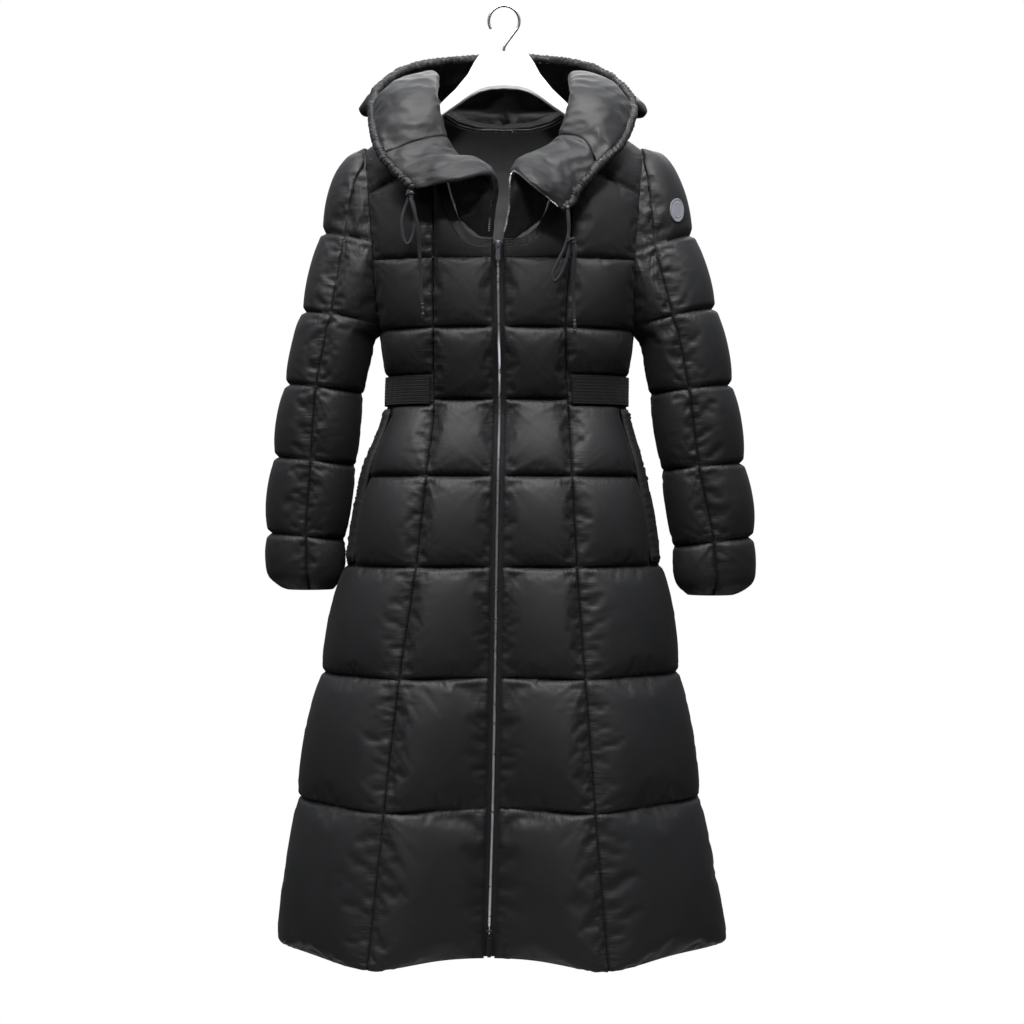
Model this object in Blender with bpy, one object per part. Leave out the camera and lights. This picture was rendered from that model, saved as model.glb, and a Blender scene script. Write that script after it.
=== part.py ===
"""Long hooded puffer coat, hanging on a moulded hanger. Metres, +Z up.

The origin is the top inside of the hanger's hook, where a rail carries it. The coat
faces -Y, and +X is the wearer's left, so _l is on +X and _r on -X. Every wall is worked
out from its middle surface: quilting stands on the outer points, the inside is plain.
"""
from collections import namedtuple
import math

import bmesh
import bpy
from mathutils import Vector

MM = 0.001
RIGHT, LEFT = -1, 1          # the wearer's sides, as the sign of X
FRONT, BACK = -1, 1          # as the sign of Y
SIDES = ((RIGHT, "r"), (LEFT, "l"))

# ---------------------------------------------------------------- driving sizes
WALL = 2.4 * MM              # shell, down-proof lining and seam together, flat
SEAM_GAP = 0.18 * MM         # each piece stops this far from its seam line
LAP = 2.8 * MM               # the hood's lower edge stands this far outside the neckline
SHOULDER_LAP = 5.6 * MM      # and this much more beside the neck, where the shoulder turns
SECTION_POWER = 2.4          # 2 is an ellipse, more is squarer
ARMPIT_Z = -470 * MM
CHEST_Z = -372 * MM          # above this level the columns lean to the shoulder seam
TIP_X, TIP_Z = 198 * MM, -207 * MM
NECK_X, NECK_Z = 101 * MM, -139 * MM
FRONT_NECK_Z, BACK_NECK_Z = -346 * MM, -168 * MM
NECKLINE_POWER = 3.0         # how long the neckline stays low beside the centre
ARMHOLE_HALF_DEPTH = 58 * MM
ARMHOLE_POWER = 2.6
RIDGE_WIDTH = 78 * MM        # how wide the fold along a princess seam is
BACK_RIDGE = 0.6             # the back's folds, as a share of the front's
HEM_DROOP = 9 * MM           # the hem dips this much on the folds
ZIP_HALF = 7 * MM            # from the zip's middle to a front's edge
PUFF_BODY, PUFF_SLEEVE, PUFF_HOOD = 11 * MM, 7 * MM, 6 * MM
PUFF_POWER = 2.6
RIM_RADIUS = 6.4 * MM
RIM_GATHERS = 26             # crinkles in each half of the hood's casing
CORD_RADIUS = 2.4 * MM

Level = namedtuple("Level", "z right left zip princess_r princess_l front ridge back")
LEVELS = [Level(*(v * MM for v in row)) for row in (
    # z     right left  zip  pr_r  pr_l front ridge back
    (-372,  184,  184,   -8,   98,   92,   98,    0,   92),
    (-470,  177,  185,   -7,   98,   86,  102,    0,   94),
    (-533,  167,  176,   -6,   98,   87,   92,    1,   84),
    (-577,  168,  176,   -6,   98,   90,   88,    2,   80),
    (-677,  202,  201,   -8,  107,   95,  112,    8,  104),
    (-803,  225,  223,  -10,  121,  101,  122,   15,  122),
    (-955,  257,  247,  -12,  143,  112,  130,   27,  138),
    (-1133, 291,  277,  -15,  163,  125,  138,   43,  152),
    (-1338, 318,  314,  -20,  184,  142,  146,   58,  165),
)]
HEM_Z = LEVELS[-1].z

# Quilting lines: heights in millimetres from the shoulder to the hem.
CENTRE_SEAMS = (-207, -278, -372, -469, -569, -677, -803, -955, -1133, -1338)
SIDE_SEAMS = (-207, -278, -372, -469, -533, -577, -677, -803, -955, -1133, -1338)
WAIST_TOP, WAIST_BOTTOM = -533 * MM, -577 * MM
POCKET_TOP, POCKET_BOTTOM = -577 * MM, -803 * MM
BLOCK_STEPS = (0.0, 0.13, 0.5, 0.87)
SHORT_STEPS = (0.0, 0.5)
TOP_STEPS = (0.0, 0.05, 0.16, 0.45, 0.87)
WELT_FROM, WELT_TO = 1.62, 1.8
FRONT_COLUMNS = (0.0, 0.15, 0.5, 0.82, 0.94, 0.985, 1.0)
BACK_COLUMNS = (0.0, 0.3, 0.6, 0.85, 1.0)

Arm = namedtuple("Arm", "inner outer_x inner_x rise depth seam")
ARMS = {
    RIGHT: [  # inner height, outer x, inner x, rise to the outer edge, half-depth, seam
        Arm(-207, 201, 198, 0, 58, 0.97),
        Arm(-226, 222, 197, 2, 58, 0.95),
        Arm(-262, 238, 193, 8, 58, 0.62),
        Arm(-345, 257, 186, 18, 58, 0.44),
        Arm(-470, 288, 177, 19, 62, 0.38),
        Arm(-477, 290, 184, 19, 62, 0.38),
        Arm(-500, 295, 190, 17, 61, 0.39),
        Arm(-557, 309, 205, 13, 60, 0.42),
        Arm(-660, 325, 216, 12, 57, 0.48),
        Arm(-766, 335, 231, 9, 52, 0.53),
        Arm(-816, 332, 236, 4, 49, 0.55),
        Arm(-838, 312, 246, 0, 38, 0.55),
    ],
    LEFT: [
        Arm(-207, 201, 198, 0, 58, 0.97),
        Arm(-226, 226, 197, 6, 58, 0.95),
        Arm(-262, 243, 193, 12, 58, 0.80),
        Arm(-360, 268, 184, 30, 58, 0.66),
        Arm(-470, 302, 185, 26, 62, 0.54),
        Arm(-477, 304, 192, 24, 62, 0.54),
        Arm(-500, 310, 199, 20, 61, 0.55),
        Arm(-558, 323, 212, 13, 60, 0.56),
        Arm(-667, 340, 229, 10, 57, 0.58),
        Arm(-776, 353, 245, 13, 52, 0.52),
        Arm(-824, 352, 251, 4, 49, 0.50),
        Arm(-846, 330, 264, 0, 38, 0.50),
    ],
}
SLEEVE_SEAMS = {
    RIGHT: (-207, -345, -459, -557, -660, -766, -838),
    LEFT: (-207, -360, -462, -558, -667, -776, -846),
}

# Hood and collar: a row for each station from the zip's edge to the centre back. The
# neckline share is 0 at the zip, 1 at the shoulder and 2 at the centre back. Each point is
# (out from the middle, y, z) in millimetres.
Station = namedtuple("Station", "name neckline stand crest turn rim")
STATIONS = {
    RIGHT: [
        Station("zip edge", 0.00, (12, -128, -304), (16, -158, -268), (62, -174, -278), (122, -155, -286)),
        Station("front", 0.30, (18, -122, -294), (30, -130, -250), (76, -148, -252), (138, -145, -269)),
        Station("front side", 0.60, (48, -114, -284), (58, -114, -243), (101, -128, -240), (152, -134, -254)),
        Station("side front", 0.82, (81, -102, -224), (84, -106, -206), (121, -116, -214), (169, -118, -232)),
        Station("shoulder front", 0.94, (99, -81, -161), (102, -87, -147), (142, -96, -160), (180, -96, -200)),
        Station("side", 1.00, (103, -16, -121), (103, -28, -106), (154, -48, -124), (187, -54, -157)),
        Station("shoulder back", 1.10, (102, 10, -126), (108, 2, -112), (148, -26, -136), (185, -33, -139)),
        Station("side back", 1.25, (104, 40, -126), (120, 50, -118), (200, 30, -146), (180, -10, -119)),
        Station("back side", 1.50, (86, 84, -136), (114, 128, -140), (156, 130, -118), (150, 38, -85)),
        Station("back", 1.76, (46, 96, -150), (62, 152, -164), (86, 178, -110), (95, 78, -62)),
        Station("centre back", 2.00, (0, 98, -156), (0, 160, -172), (0, 190, -110), (0, 102, -50)),
    ],
    LEFT: [
        Station("zip edge", 0.00, (8, -130, -308), (12, -150, -262), (40, -174, -284), (80, -158, -315)),
        Station("front", 0.30, (26, -122, -294), (26, -128, -244), (60, -152, -268), (93, -150, -301)),
        Station("front side", 0.60, (46, -114, -276), (45, -112, -232), (80, -132, -246), (103, -142, -283)),
        Station("side front", 0.82, (78, -102, -222), (80, -106, -204), (112, -116, -212), (130, -128, -250)),
        Station("shoulder front", 0.94, (98, -81, -161), (101, -87, -147), (136, -96, -162), (164, -101, -213)),
        Station("side", 1.00, (103, -16, -121), (102, -28, -106), (150, -50, -124), (182, -62, -167)),
        Station("shoulder back", 1.10, (102, 10, -126), (108, 2, -112), (144, -28, -138), (182, -37, -149)),
        Station("side back", 1.25, (104, 40, -126), (118, 50, -118), (198, 26, -148), (180, -12, -130)),
        Station("back side", 1.50, (86, 84, -136), (114, 128, -140), (158, 124, -118), (152, 26, -94)),
        Station("back", 1.76, (46, 96, -150), (62, 152, -164), (90, 176, -110), (98, 68, -65)),
        Station("centre back", 2.00, (0, 98, -156), (0, 160, -172), (0, 190, -110), (0, 102, -50)),
    ],
}
COLLAR_END = 3.0             # station where the collar meets the hood
HOOD_SEAMS = (3.0, 6.0, 8.2, 10.0)
LAST = 10                    # station of the centre back
HOOD_SHARES = (0.0, 0.08, 0.17, 0.27, 0.38, 0.48, 0.58, 0.69, 0.8, 0.91, 1.0)
RIM_STOP = RIM_RADIUS * 1.06 + 2.4 * MM
RIM_SAMPLES = 180            # points on the casing's middle line that its wall is kept clear of
TAPE_SHOWN = 8 * MM          # tape between the collar's edge and the teeth

TAPE = 0.8 * MM              # the zip's tape, which stands behind the fronts' middle
TAPE_BEHIND = WALL / 2 + 1.6 * MM + TAPE / 2
CHAIN_HALF, CHAIN_DEEP = 2.4 * MM, 2.2 * MM
TEETH_RADIUS = 1.5 * MM
SLIDER_TOP_Z, SLIDER_BOTTOM_Z = -352 * MM, -1306 * MM
SLIDER = (8 * MM, 5 * MM, 13 * MM)
PULL_AHEAD = 4 * MM          # the pull's axis, in front of its slider's middle
TOP_PULL, BOTTOM_PULL = 22 * MM, 30 * MM

# Drawcord routes: from the eyelet round the loop, up to the knot and down the tail.
CORD_ROUTES = {
    RIGHT: [  # x, y, z in millimetres
        (-126, -165, -294), (-131, -167, -306), (-138, -166, -328), (-137, -163, -352),
        (-131, -161, -363), (-124, -161, -352), (-120, -163, -328), (-123, -169, -307),
        (-127, -175, -296), (-124, -177, -309), (-118, -172, -332), (-115, -160, -362),
        (-114, -150, -395), (-113, -144, -425), (-112, -141, -440),
    ],
    LEFT: [
        (87, -168, -314), (88, -168, -327), (89, -165, -345), (84, -163, -366),
        (74, -160, -386), (67, -158, -402), (70, -157, -413), (79, -160, -402),
        (88, -166, -378), (92, -171, -358), (97, -171, -366), (96, -163, -390),
        (95, -153, -420), (96, -147, -446), (97, -144, -463),
    ],
}
CORD_POINTS = 36

# Hanger: a row for each station from the middle to the end of an arm.
Arch = namedtuple("Arch", "x top bottom half_depth")
HANGER = [Arch(*(v * MM for v in row)) for row in (
    (0, -64, -118, 8), (20, -65, -119, 8), (35, -68, -123, 8), (43, -80, -127, 8.5),
    (52, -97, -132, 9), (70, -119, -145, 9), (86, -134, -156, 9), (97, -145, -166, 9),
    (135, -174, -193, 9), (165, -196, -212, 9), (178, -206, -218, 7),
)]
HOOK_WIRE = 2 * MM
HOOK_RADIUS = 22 * MM

BLACK = (0.012, 0.012, 0.014)
TRIM_BLACK = (0.02, 0.02, 0.022)
SILVER = (0.72, 0.72, 0.74)
GUNMETAL = (0.1, 0.1, 0.11)
WHITE = (0.86, 0.86, 0.84)
PATCH_GREY = (0.35, 0.36, 0.4)


# ---------------------------------------------------------------- small helpers
def clear_scene():
    """Remove whatever the file holds before the coat is built."""
    for item in list(bpy.data.objects):
        bpy.data.objects.remove(item, do_unlink=True)


def material(name, colour, roughness, metallic=0.0):
    """A plain Principled material."""
    made = bpy.data.materials.get(name)
    if made is None:
        made = bpy.data.materials.new(name)
        made.use_nodes = True
        shader = made.node_tree.nodes["Principled BSDF"]
        shader.inputs["Base Color"].default_value = (*colour, 1)
        shader.inputs["Roughness"].default_value = roughness
        shader.inputs["Metallic"].default_value = metallic
    return made


def nylon(name):
    """The coat's black shell fabric, one material for each piece."""
    return material(name + "_nylon", BLACK, 0.42)


def woven(name):
    """Matte black woven trim."""
    return material(name + "_woven", TRIM_BLACK, 0.8)


def metal(name, colour):
    return material(name + "_metal", colour, 0.3, 1.0)


def put(name, bm, finish, smooth_angle=40):
    """Turn a bmesh into a named object with its normals out."""
    bmesh.ops.recalc_face_normals(bm, faces=bm.faces)
    mesh = bpy.data.meshes.new(name)
    bm.to_mesh(mesh)
    bm.free()
    mesh.shade_smooth()
    mesh.set_sharp_from_angle(angle=math.radians(smooth_angle))
    mesh.materials.append(finish)
    made = bpy.data.objects.new(name, mesh)
    bpy.context.collection.objects.link(made)
    return made


def hermite(table, key, value):
    """Read a table of rows smoothly at a value of its falling key column."""
    keys = [getattr(row, key) for row in table]
    value = min(max(value, keys[-1]), keys[0])
    i = max(k for k in range(len(keys) - 1) if keys[k] >= value)
    span = keys[i + 1] - keys[i]
    t = (value - keys[i]) / span
    weights = (2 * t**3 - 3 * t**2 + 1, t**3 - 2 * t**2 + t, -2 * t**3 + 3 * t**2, t**3 - t**2)

    def slope(k, field):
        """Limited slope, so that the curve never overshoots its rows."""
        if k in (0, len(keys) - 1):
            return 0.0
        before = (table[k][field] - table[k - 1][field]) / (keys[k] - keys[k - 1])
        after = (table[k + 1][field] - table[k][field]) / (keys[k + 1] - keys[k])
        return 0.0 if before * after <= 0 else 2 * before * after / (before + after)

    read = []
    for field in range(len(table[0])):
        a, b = table[i][field], table[i + 1][field]
        read.append(weights[0] * a + weights[1] * span * slope(i, field)
                    + weights[2] * b + weights[3] * span * slope(i + 1, field))
    return type(table[0])(*read)


def catmull(points, t):
    """Point of a Catmull-Rom curve through points, t from 0 to len(points) - 1."""
    last = len(points) - 1
    i = min(int(t), last - 1)
    f = t - i
    p1, p2 = points[i], points[i + 1]
    p0 = points[i - 1] if i > 0 else p1 * 2 - p2
    p3 = points[i + 2] if i + 2 <= last else p2 * 2 - p1
    return 0.5 * (p1 * 2 + (p2 - p0) * f + (p0 * 2 - p1 * 5 + p2 * 4 - p3) * f**2
                  + (p1 * 3 - p0 - p2 * 3 + p3) * f**3)


def puff(share):
    """Height of a stuffed block across its width, 0 at its seams and 1 in its middle."""
    share = min(max(share, 0.0), 1.0)
    return (1 - abs(2 * share - 1) ** PUFF_POWER) ** 0.5


def block_share(lines, value):
    """How far a value lies through the block of quilting lines that holds it."""
    for top, bottom in zip(lines, lines[1:]):
        if (top - value) * (bottom - value) <= 0 and top != bottom:
            return (value - top) / (bottom - top), abs(bottom - top)
    return 0.0, 1.0


def unit(v):
    return v.normalized()


def padded_wall(name, finish, grid, out, back, kept_rows=None):
    """Closed wall on a grid of (point, direction), out and back from its middle surface.

    Where kept_rows is given, the inner face keeps only those rows of edges.
    """
    rows, cols = len(grid), len(grid[0])
    bm = bmesh.new()
    outer = [[bm.verts.new(p + d * out[i][j]) for j, (p, d) in enumerate(row)] for i, row in enumerate(grid)]
    inner = [[bm.verts.new(p - d * back[i][j]) for j, (p, d) in enumerate(row)] for i, row in enumerate(grid)]
    for i in range(rows - 1):
        for j in range(cols - 1):
            bm.faces.new((outer[i][j], outer[i + 1][j], outer[i + 1][j + 1], outer[i][j + 1]))
            bm.faces.new((inner[i][j], inner[i][j + 1], inner[i + 1][j + 1], inner[i + 1][j]))
    edge = [(0, j) for j in range(cols)] + [(i, cols - 1) for i in range(1, rows)]
    edge += [(rows - 1, j) for j in range(cols - 2, -1, -1)] + [(i, 0) for i in range(rows - 2, 0, -1)]
    for (a, b), (c, d) in zip(edge, edge[1:] + edge[:1]):
        bm.faces.new((outer[a][b], outer[c][d], inner[c][d], inner[a][b]))
    if kept_rows is not None:
        spare = []
        for i in range(1, rows - 1):
            if i not in kept_rows:
                spare += [bm.edges.get((inner[i][j], inner[i][j + 1])) for j in range(cols - 1)]
        bmesh.ops.dissolve_edges(bm, edges=spare, use_verts=True)
    return put(name, bm, finish)


# ---------------------------------------------------------------- body of the coat
def armhole_depth(z):
    """Half the front-to-back size of the armhole at a height, 0 at its ends."""
    share = (z - ARMPIT_Z) / (TIP_Z - ARMPIT_Z)
    if share <= 0 or share >= 1:
        return 0.0
    return ARMHOLE_HALF_DEPTH * (1 - abs(2 * share - 1) ** ARMHOLE_POWER) ** (1 / ARMHOLE_POWER)


def side_x(side, z):
    """How far out the side seam or the armhole's edge lies at a height."""
    row = hermite(LEVELS, "z", z)
    out = row.left if side == LEFT else row.right
    if z > CHEST_Z:
        out += (TIP_X - out) * (z - CHEST_Z) / (TIP_Z - CHEST_Z)
    return out


def armhole_direction(face, z):
    """Away from the armhole's middle, across the garment."""
    middle, half = (ARMPIT_Z + TIP_Z) / 2, (TIP_Z - ARMPIT_Z) / 2
    return unit(Vector((0, face * armhole_depth(z) / ARMHOLE_HALF_DEPTH**2, (z - middle) / half**2)))


def body_point(side, face, a, z):
    """Middle surface of the body: a is 0 at the centre, 1 at the princess seam, 2 at the side.

    Up to the chest a level is a flat section. Above it z only counts how far a column has
    gone to its own top, on the neckline or on the shoulder seam.
    """
    level = hermite(LEVELS, "z", min(z, CHEST_Z))
    power = 2 / SECTION_POWER
    out = level.left if side == LEFT else level.right
    princess = side * (level.princess_l if side == LEFT else level.princess_r)
    depth = level.front if face == FRONT else level.back
    centre = level.zip if face == FRONT else (level.left - level.right) / 2
    edge_y = armhole_depth(level.z)
    end = math.acos((edge_y / depth) ** (1 / power))
    reach = (side * out - centre) / math.sin(end) ** power
    split = math.asin(((princess - centre) / reach) ** (1 / power))
    first = math.asin((ZIP_HALF / abs(reach)) ** (1 / power)) if face == FRONT else 0.0
    angle = first + a * (split - first) if a <= 1 else split + (a - 1) * (end - split)
    x = centre + reach * math.sin(angle) ** power if angle > 0 else centre
    y = depth * max(math.cos(angle), 0.0) ** power
    fold = math.exp(-((x - princess) / RIDGE_WIDTH) ** 2) * math.cos(angle) ** 0.5 if angle < math.pi / 2 else 0.0
    y += level.ridge * fold * (1 if face == FRONT else BACK_RIDGE)
    height = level.z - HEM_DROOP * fold * (level.ridge / LEVELS[-1].ridge) ** 2
    if z <= CHEST_Z:
        return Vector((x, face * y, height))
    q = (z - CHEST_Z) / (TIP_Z - CHEST_Z)
    top_z = NECK_Z if a <= 1 else NECK_Z + (a - 1) * (TIP_Z - NECK_Z)
    if a < 1:
        low = FRONT_NECK_Z if face == FRONT else BACK_NECK_Z
        neck_line = low + (NECK_Z - low) * a**NECKLINE_POWER
        q *= (neck_line - CHEST_Z) / (NECK_Z - CHEST_Z)
    top_x = side * NECK_X * a if a <= 1 else side * (NECK_X + (a - 1) * (TIP_X - NECK_X))
    if a <= 1:
        top_x = centre + (x - centre) * (side * NECK_X - centre) / (princess - centre)
    x += (top_x - x) * q
    roll_z = CHEST_Z + q * (TIP_Z - CHEST_Z)
    y *= armhole_depth(roll_z) / armhole_depth(CHEST_Z)
    return Vector((x, face * y, CHEST_Z + q * (top_z - CHEST_Z)))


def clear_of(away, up, towards, gap=SEAM_GAP):
    """Step off a seam: square to the wall and to the seam, to the side of towards."""
    step = unit(away.cross(up))
    return step * gap * (1 if step.dot(towards) > 0 else -1)


def body_row(side, face, z, columns):
    """Points and wall directions of one row of a panel, clear of its seams."""
    row = []
    step = 0.002
    for k, a in enumerate(columns):
        here = body_point(side, face, a, z)
        lo, hi = max(a - step, 0.0), min(a + step, 2.0)
        along = body_point(side, face, hi, z) - body_point(side, face, lo, z)
        z_up = min(z + step, TIP_Z - 1e-5)
        z_down = max(z_up - 2 * step, HEM_Z)
        up = body_point(side, face, a, z_up) - body_point(side, face, a, z_down)
        away = unit(along.cross(up))
        if away.y * face < 0 and abs(away.y) > 0.05 or abs(away.y) <= 0.05 and away.x * side < 0:
            away = -away
        shoulder = z >= TIP_Z - 1e-6 and a >= 1
        if shoulder:
            slope = math.atan2(NECK_Z - TIP_Z, TIP_X - NECK_X)
            away = Vector((side * math.sin(slope), 0, math.cos(slope)))
        if a == 2 and z >= ARMPIT_Z:
            away = armhole_direction(face, z)
            here = Vector((here.x - side * SEAM_GAP, here.y, here.z))
        elif a == 2:
            away = Vector((side, 0, 0))
        elif a == 1 or (a == 0 and face == BACK):
            gap = SEAM_GAP * (3 if z > TIP_Z - 12 * MM else 1)
            here = here + clear_of(away, up, Vector((side if k == 0 else -side, 0, 0)), gap)
        if shoulder or (a == 2 and z <= ARMPIT_Z):
            here = Vector((here.x, face * SEAM_GAP, here.z))
        row.append((here, away))
    return row


def body_rows():
    """Heights of the body's rows, the same on every panel, with the rows kept inside."""
    lines = sorted({v * MM for v in CENTRE_SEAMS + SIDE_SEAMS}, reverse=True)
    rows, kept = [], set()
    for top, bottom in zip(lines, lines[1:]):
        kept.add(len(rows))
        if top - bottom < 20 * MM:
            steps = (0.0,)
        elif top - bottom < 60 * MM:
            steps = SHORT_STEPS
        else:
            steps = BLOCK_STEPS
        if top == TIP_Z:
            steps = TOP_STEPS
        for s in steps:
            rows.append(top + s * (bottom - top))
            if s == 0.5 or (top == TIP_Z and s > 0.1):
                kept.add(len(rows) - 1)
    kept.add(len(rows))
    rows.append(lines[-1])
    return rows, kept


def armpit_ease(z):
    """Padding is pressed thin where sleeve and side meet."""
    return min(1.0, abs(z - ARMPIT_Z) / (80 * MM)) ** 1.5


def body_relief(face, a, z, lines):
    """How far a block stands out at a point of the body."""
    share, height = block_share([v * MM for v in lines], z)
    if len(lines) == len(SIDE_SEAMS) and WAIST_BOTTOM <= z <= WAIST_TOP:
        return 0.0
    in_panel = a if a <= 1 else a - 1
    if face == FRONT and a > 1 and POCKET_BOTTOM <= z <= POCKET_TOP:
        in_panel = (a - 1) / (WELT_FROM - 1)
    if face == BACK and a <= 1:
        in_panel = 0.5 + a / 2
    size = PUFF_BODY * min(1.0, 0.7 + height / 0.5)
    if z > CHEST_Z:
        size *= 0.75
    if z > lines[1] * MM:
        size *= min(1.0, 1.4 * share)
    if a > 1.4:
        size *= armpit_ease(z)
    return size * puff(in_panel) * puff(share)


def body_panel(name, side, face, columns, lines):
    """One quilted panel from the shoulder or neckline to the hem."""
    heights, kept = body_rows()
    grid = [body_row(side, face, z, columns) for z in heights]
    out = [[WALL / 2 + body_relief(face, a, z, lines) for a in columns] for z in heights]
    back = [[WALL / 2] * len(columns) for _ in heights]
    return padded_wall(name, nylon(name), grid, out, back, kept)


def back_centre():
    """One panel across the centre back, read as two halves that share their middle."""
    heights, kept = body_rows()
    shares = BACK_COLUMNS
    grid, out = [], []
    for z in heights:
        right = body_row(RIGHT, BACK, z, shares)
        left = body_row(LEFT, BACK, z, shares)
        middle = ((right[0][0] + left[0][0]) / 2, Vector((0, 1, 0)))
        middle = (middle[0], unit(right[0][1] + left[0][1]))
        grid.append(right[:0:-1] + [middle] + left[1:])
        relief = [body_relief(BACK, a, z, SIDE_SEAMS) for a in shares]
        out.append([WALL / 2 + r for r in relief[:0:-1] + relief])
    back = [[WALL / 2] * len(grid[0]) for _ in heights]
    return padded_wall("back_centre", nylon("back_centre"), grid, out, back, kept)


def build_body():
    side_columns = (1.0, 1.1, 1.3, 1.46, WELT_FROM, WELT_TO, 2.0)
    back_columns = (1.0, 1.1, 1.32, 1.58, 1.84, 2.0)
    for side, mark in SIDES:
        body_panel("front_centre_" + mark, side, FRONT, FRONT_COLUMNS, CENTRE_SEAMS)
        body_panel("front_side_" + mark, side, FRONT, side_columns, SIDE_SEAMS)
        body_panel("back_side_" + mark, side, BACK, back_columns, SIDE_SEAMS)
    back_centre()


# ---------------------------------------------------------------- sleeves
def arm_row(side, inner_z):
    """Section of a sleeve at the height of its inner edge, as centre, halves and angles."""
    table = [Arm(*(v * MM for v in row[:5]), row.seam) for row in ARMS[side]]
    row = hermite(table, "inner", inner_z)
    edge = armhole_depth(inner_z)
    middle = (ARMPIT_Z + TIP_Z) / 2
    inner_x = side_x(side, inner_z) if inner_z >= ARMPIT_Z else row.inner_x
    if inner_z >= middle:
        depth, cut = max(edge, 1e-4), math.pi / 2
    elif inner_z > ARMPIT_Z:
        depth = row.depth
        cut = math.pi - math.asin(min(1.0, edge / depth))
    else:
        depth, cut = row.depth, math.pi
    half = (row.outer_x - inner_x) / (1 - math.cos(cut))
    centre = row.outer_x - half
    seam_x = row.outer_x + row.seam * (inner_x - row.outer_x)
    seam = math.acos(min(1.0, max(-1.0, (seam_x - centre) / half)))
    return row, centre, half, depth, cut, seam


def arm_point(side, inner_z, angle):
    """Middle surface of a sleeve: angle 0 is its outer edge, and it is positive in front."""
    row, centre, half, depth, cut, _ = arm_row(side, inner_z)
    x = centre + half * math.cos(angle)
    spread = (math.cos(angle) - math.cos(cut)) / (1 - math.cos(cut))
    return Vector((side * x, -depth * math.sin(angle), inner_z + row.rise * spread))


def arm_seam_point(side, z):
    """Point of the lengthwise front seam at a height."""
    return arm_point(side, z, arm_row(side, z)[5])


def arm_vertex(side, z, angle, towards):
    """Point and wall direction of a sleeve, stepped clear of a seam by towards."""
    _, _, _, _, cut, _ = arm_row(side, z)
    here = arm_point(side, z, angle)
    step = 0.01
    along = arm_point(side, z, angle + step) - arm_point(side, z, angle - step)
    z_up = min(z + 1 * MM, TIP_Z - 1 * MM)
    up = arm_point(side, z_up, angle) - arm_point(side, z_up - 2 * MM, angle)
    away = unit(along.cross(up))
    outward = Vector((side * math.cos(angle), -math.sin(angle), 0))
    if away.dot(outward) < 0:
        away = -away
    if abs(abs(angle) - cut) < 1e-6 and z >= ARMPIT_Z:
        away = armhole_direction(FRONT if angle > 0 else BACK, z)
        here = here + Vector((side * SEAM_GAP, 0, 0))
        if z == ARMPIT_Z:
            here.y = -SEAM_GAP if angle > 0 else SEAM_GAP
    elif abs(abs(angle) - math.pi) < 1e-6:
        away = Vector((-side, 0, 0))
        here.y = -SEAM_GAP if angle > 0 else SEAM_GAP
    elif towards:
        seam_up = arm_seam_point(side, z_up) - arm_seam_point(side, z_up - 2 * MM)
        here = here + clear_of(away, seam_up, along * towards)
    return here, away


def sleeve_rows(side):
    """Heights of a sleeve's rows below its top line, and the rows kept inside."""
    lines = [v * MM for v in SLEEVE_SEAMS[side]]
    rows = []
    for top, bottom in zip(lines, lines[1:]):
        steps = BLOCK_STEPS if top != TIP_Z else (0.14, 0.22, 0.35, 0.5, 0.7, 0.88)
        for s in steps:
            rows.append(top + s * (bottom - top))
        if bottom < ARMPIT_Z < top:
            rows.append(ARMPIT_Z)
            rows.sort(reverse=True)
    rows.append(lines[-1])
    kept = {i for i, z in enumerate(rows) if z >= ARMPIT_Z or z in lines}
    return rows, kept


def sleeve_relief(side, share_across, z, inward=False, width_ease=1.0):
    """How far a sleeve block stands out; inward for the parts that face the body."""
    lines = [v * MM for v in SLEEVE_SEAMS[side]]
    share, _ = block_share(lines, z)
    size = PUFF_SLEEVE * (armpit_ease(z) if inward else 1) * width_ease
    return size * puff(share_across) * puff(share)


def sleeve_front(side, mark):
    """Front panel of a sleeve, from the armhole and underarm seam to the front seam."""
    name = "sleeve_front_" + mark
    heights, kept = sleeve_rows(side)
    shares = (0.0, 0.14, 0.38, 0.66, 0.88, 1.0)
    grid, out = [], []
    for z in heights:
        _, _, _, _, cut, seam = arm_row(side, z)
        row = []
        for s in shares:
            angle = cut + s * (seam - cut)
            row.append(arm_vertex(side, z, angle, 1 if s == 1.0 else 0))
        grid.append(row)
        width = (row[-1][0] - row[0][0]).length
        ease = min(1.0, width / (60 * MM)) ** 1.5
        out.append([WALL / 2 + sleeve_relief(side, s, z, s < 0.8, ease) for s in shares])
    back = [[WALL / 2] * len(shares) for _ in heights]
    return padded_wall(name, nylon(name), grid, out, back, kept)


def sleeve_outer(side, mark):
    """Outer and back panel of a sleeve, from the front seam round to the underarm seam."""
    name = "sleeve_outer_" + mark
    heights, kept = sleeve_rows(side)
    shares = (0.0, 0.05, 0.13, 0.24, 0.35, 0.46, 0.58, 0.7, 0.82, 0.94, 1.0)
    top_z = heights[0]
    grid, out = [], []
    for z in heights:
        _, _, _, _, cut, seam = arm_row(side, z)
        row = []
        for s in shares:
            angle = seam + s * (-cut - seam)
            row.append(arm_vertex(side, z, angle, -1 if s == 0.0 else 0))
        grid.append(row)
        out.append([WALL / 2 + sleeve_relief(side, s, z, s > 0.6) for s in shares])
    cap = []
    for s in shares[1:-1]:
        turn = math.cos(math.pi * s)
        z = TIP_Z - (TIP_Z - top_z) * abs(turn) ** 2.4
        face = FRONT if turn > 0 else BACK
        z = min(z, TIP_Z - 0.2 * MM)
        depth = armhole_depth(z) if abs(turn) > 1e-3 else 0.0
        x = side * (side_x(side, z) + SEAM_GAP)
        cap.append((Vector((x, face * depth, z)), armhole_direction(face, z)))
    first, last = grid[0][0], grid[0][-1]
    grid[0] = [first] + cap + [last]
    back = [[WALL / 2] * len(shares) for _ in heights]
    return padded_wall(name, nylon(name), grid, out, back, kept)


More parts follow.
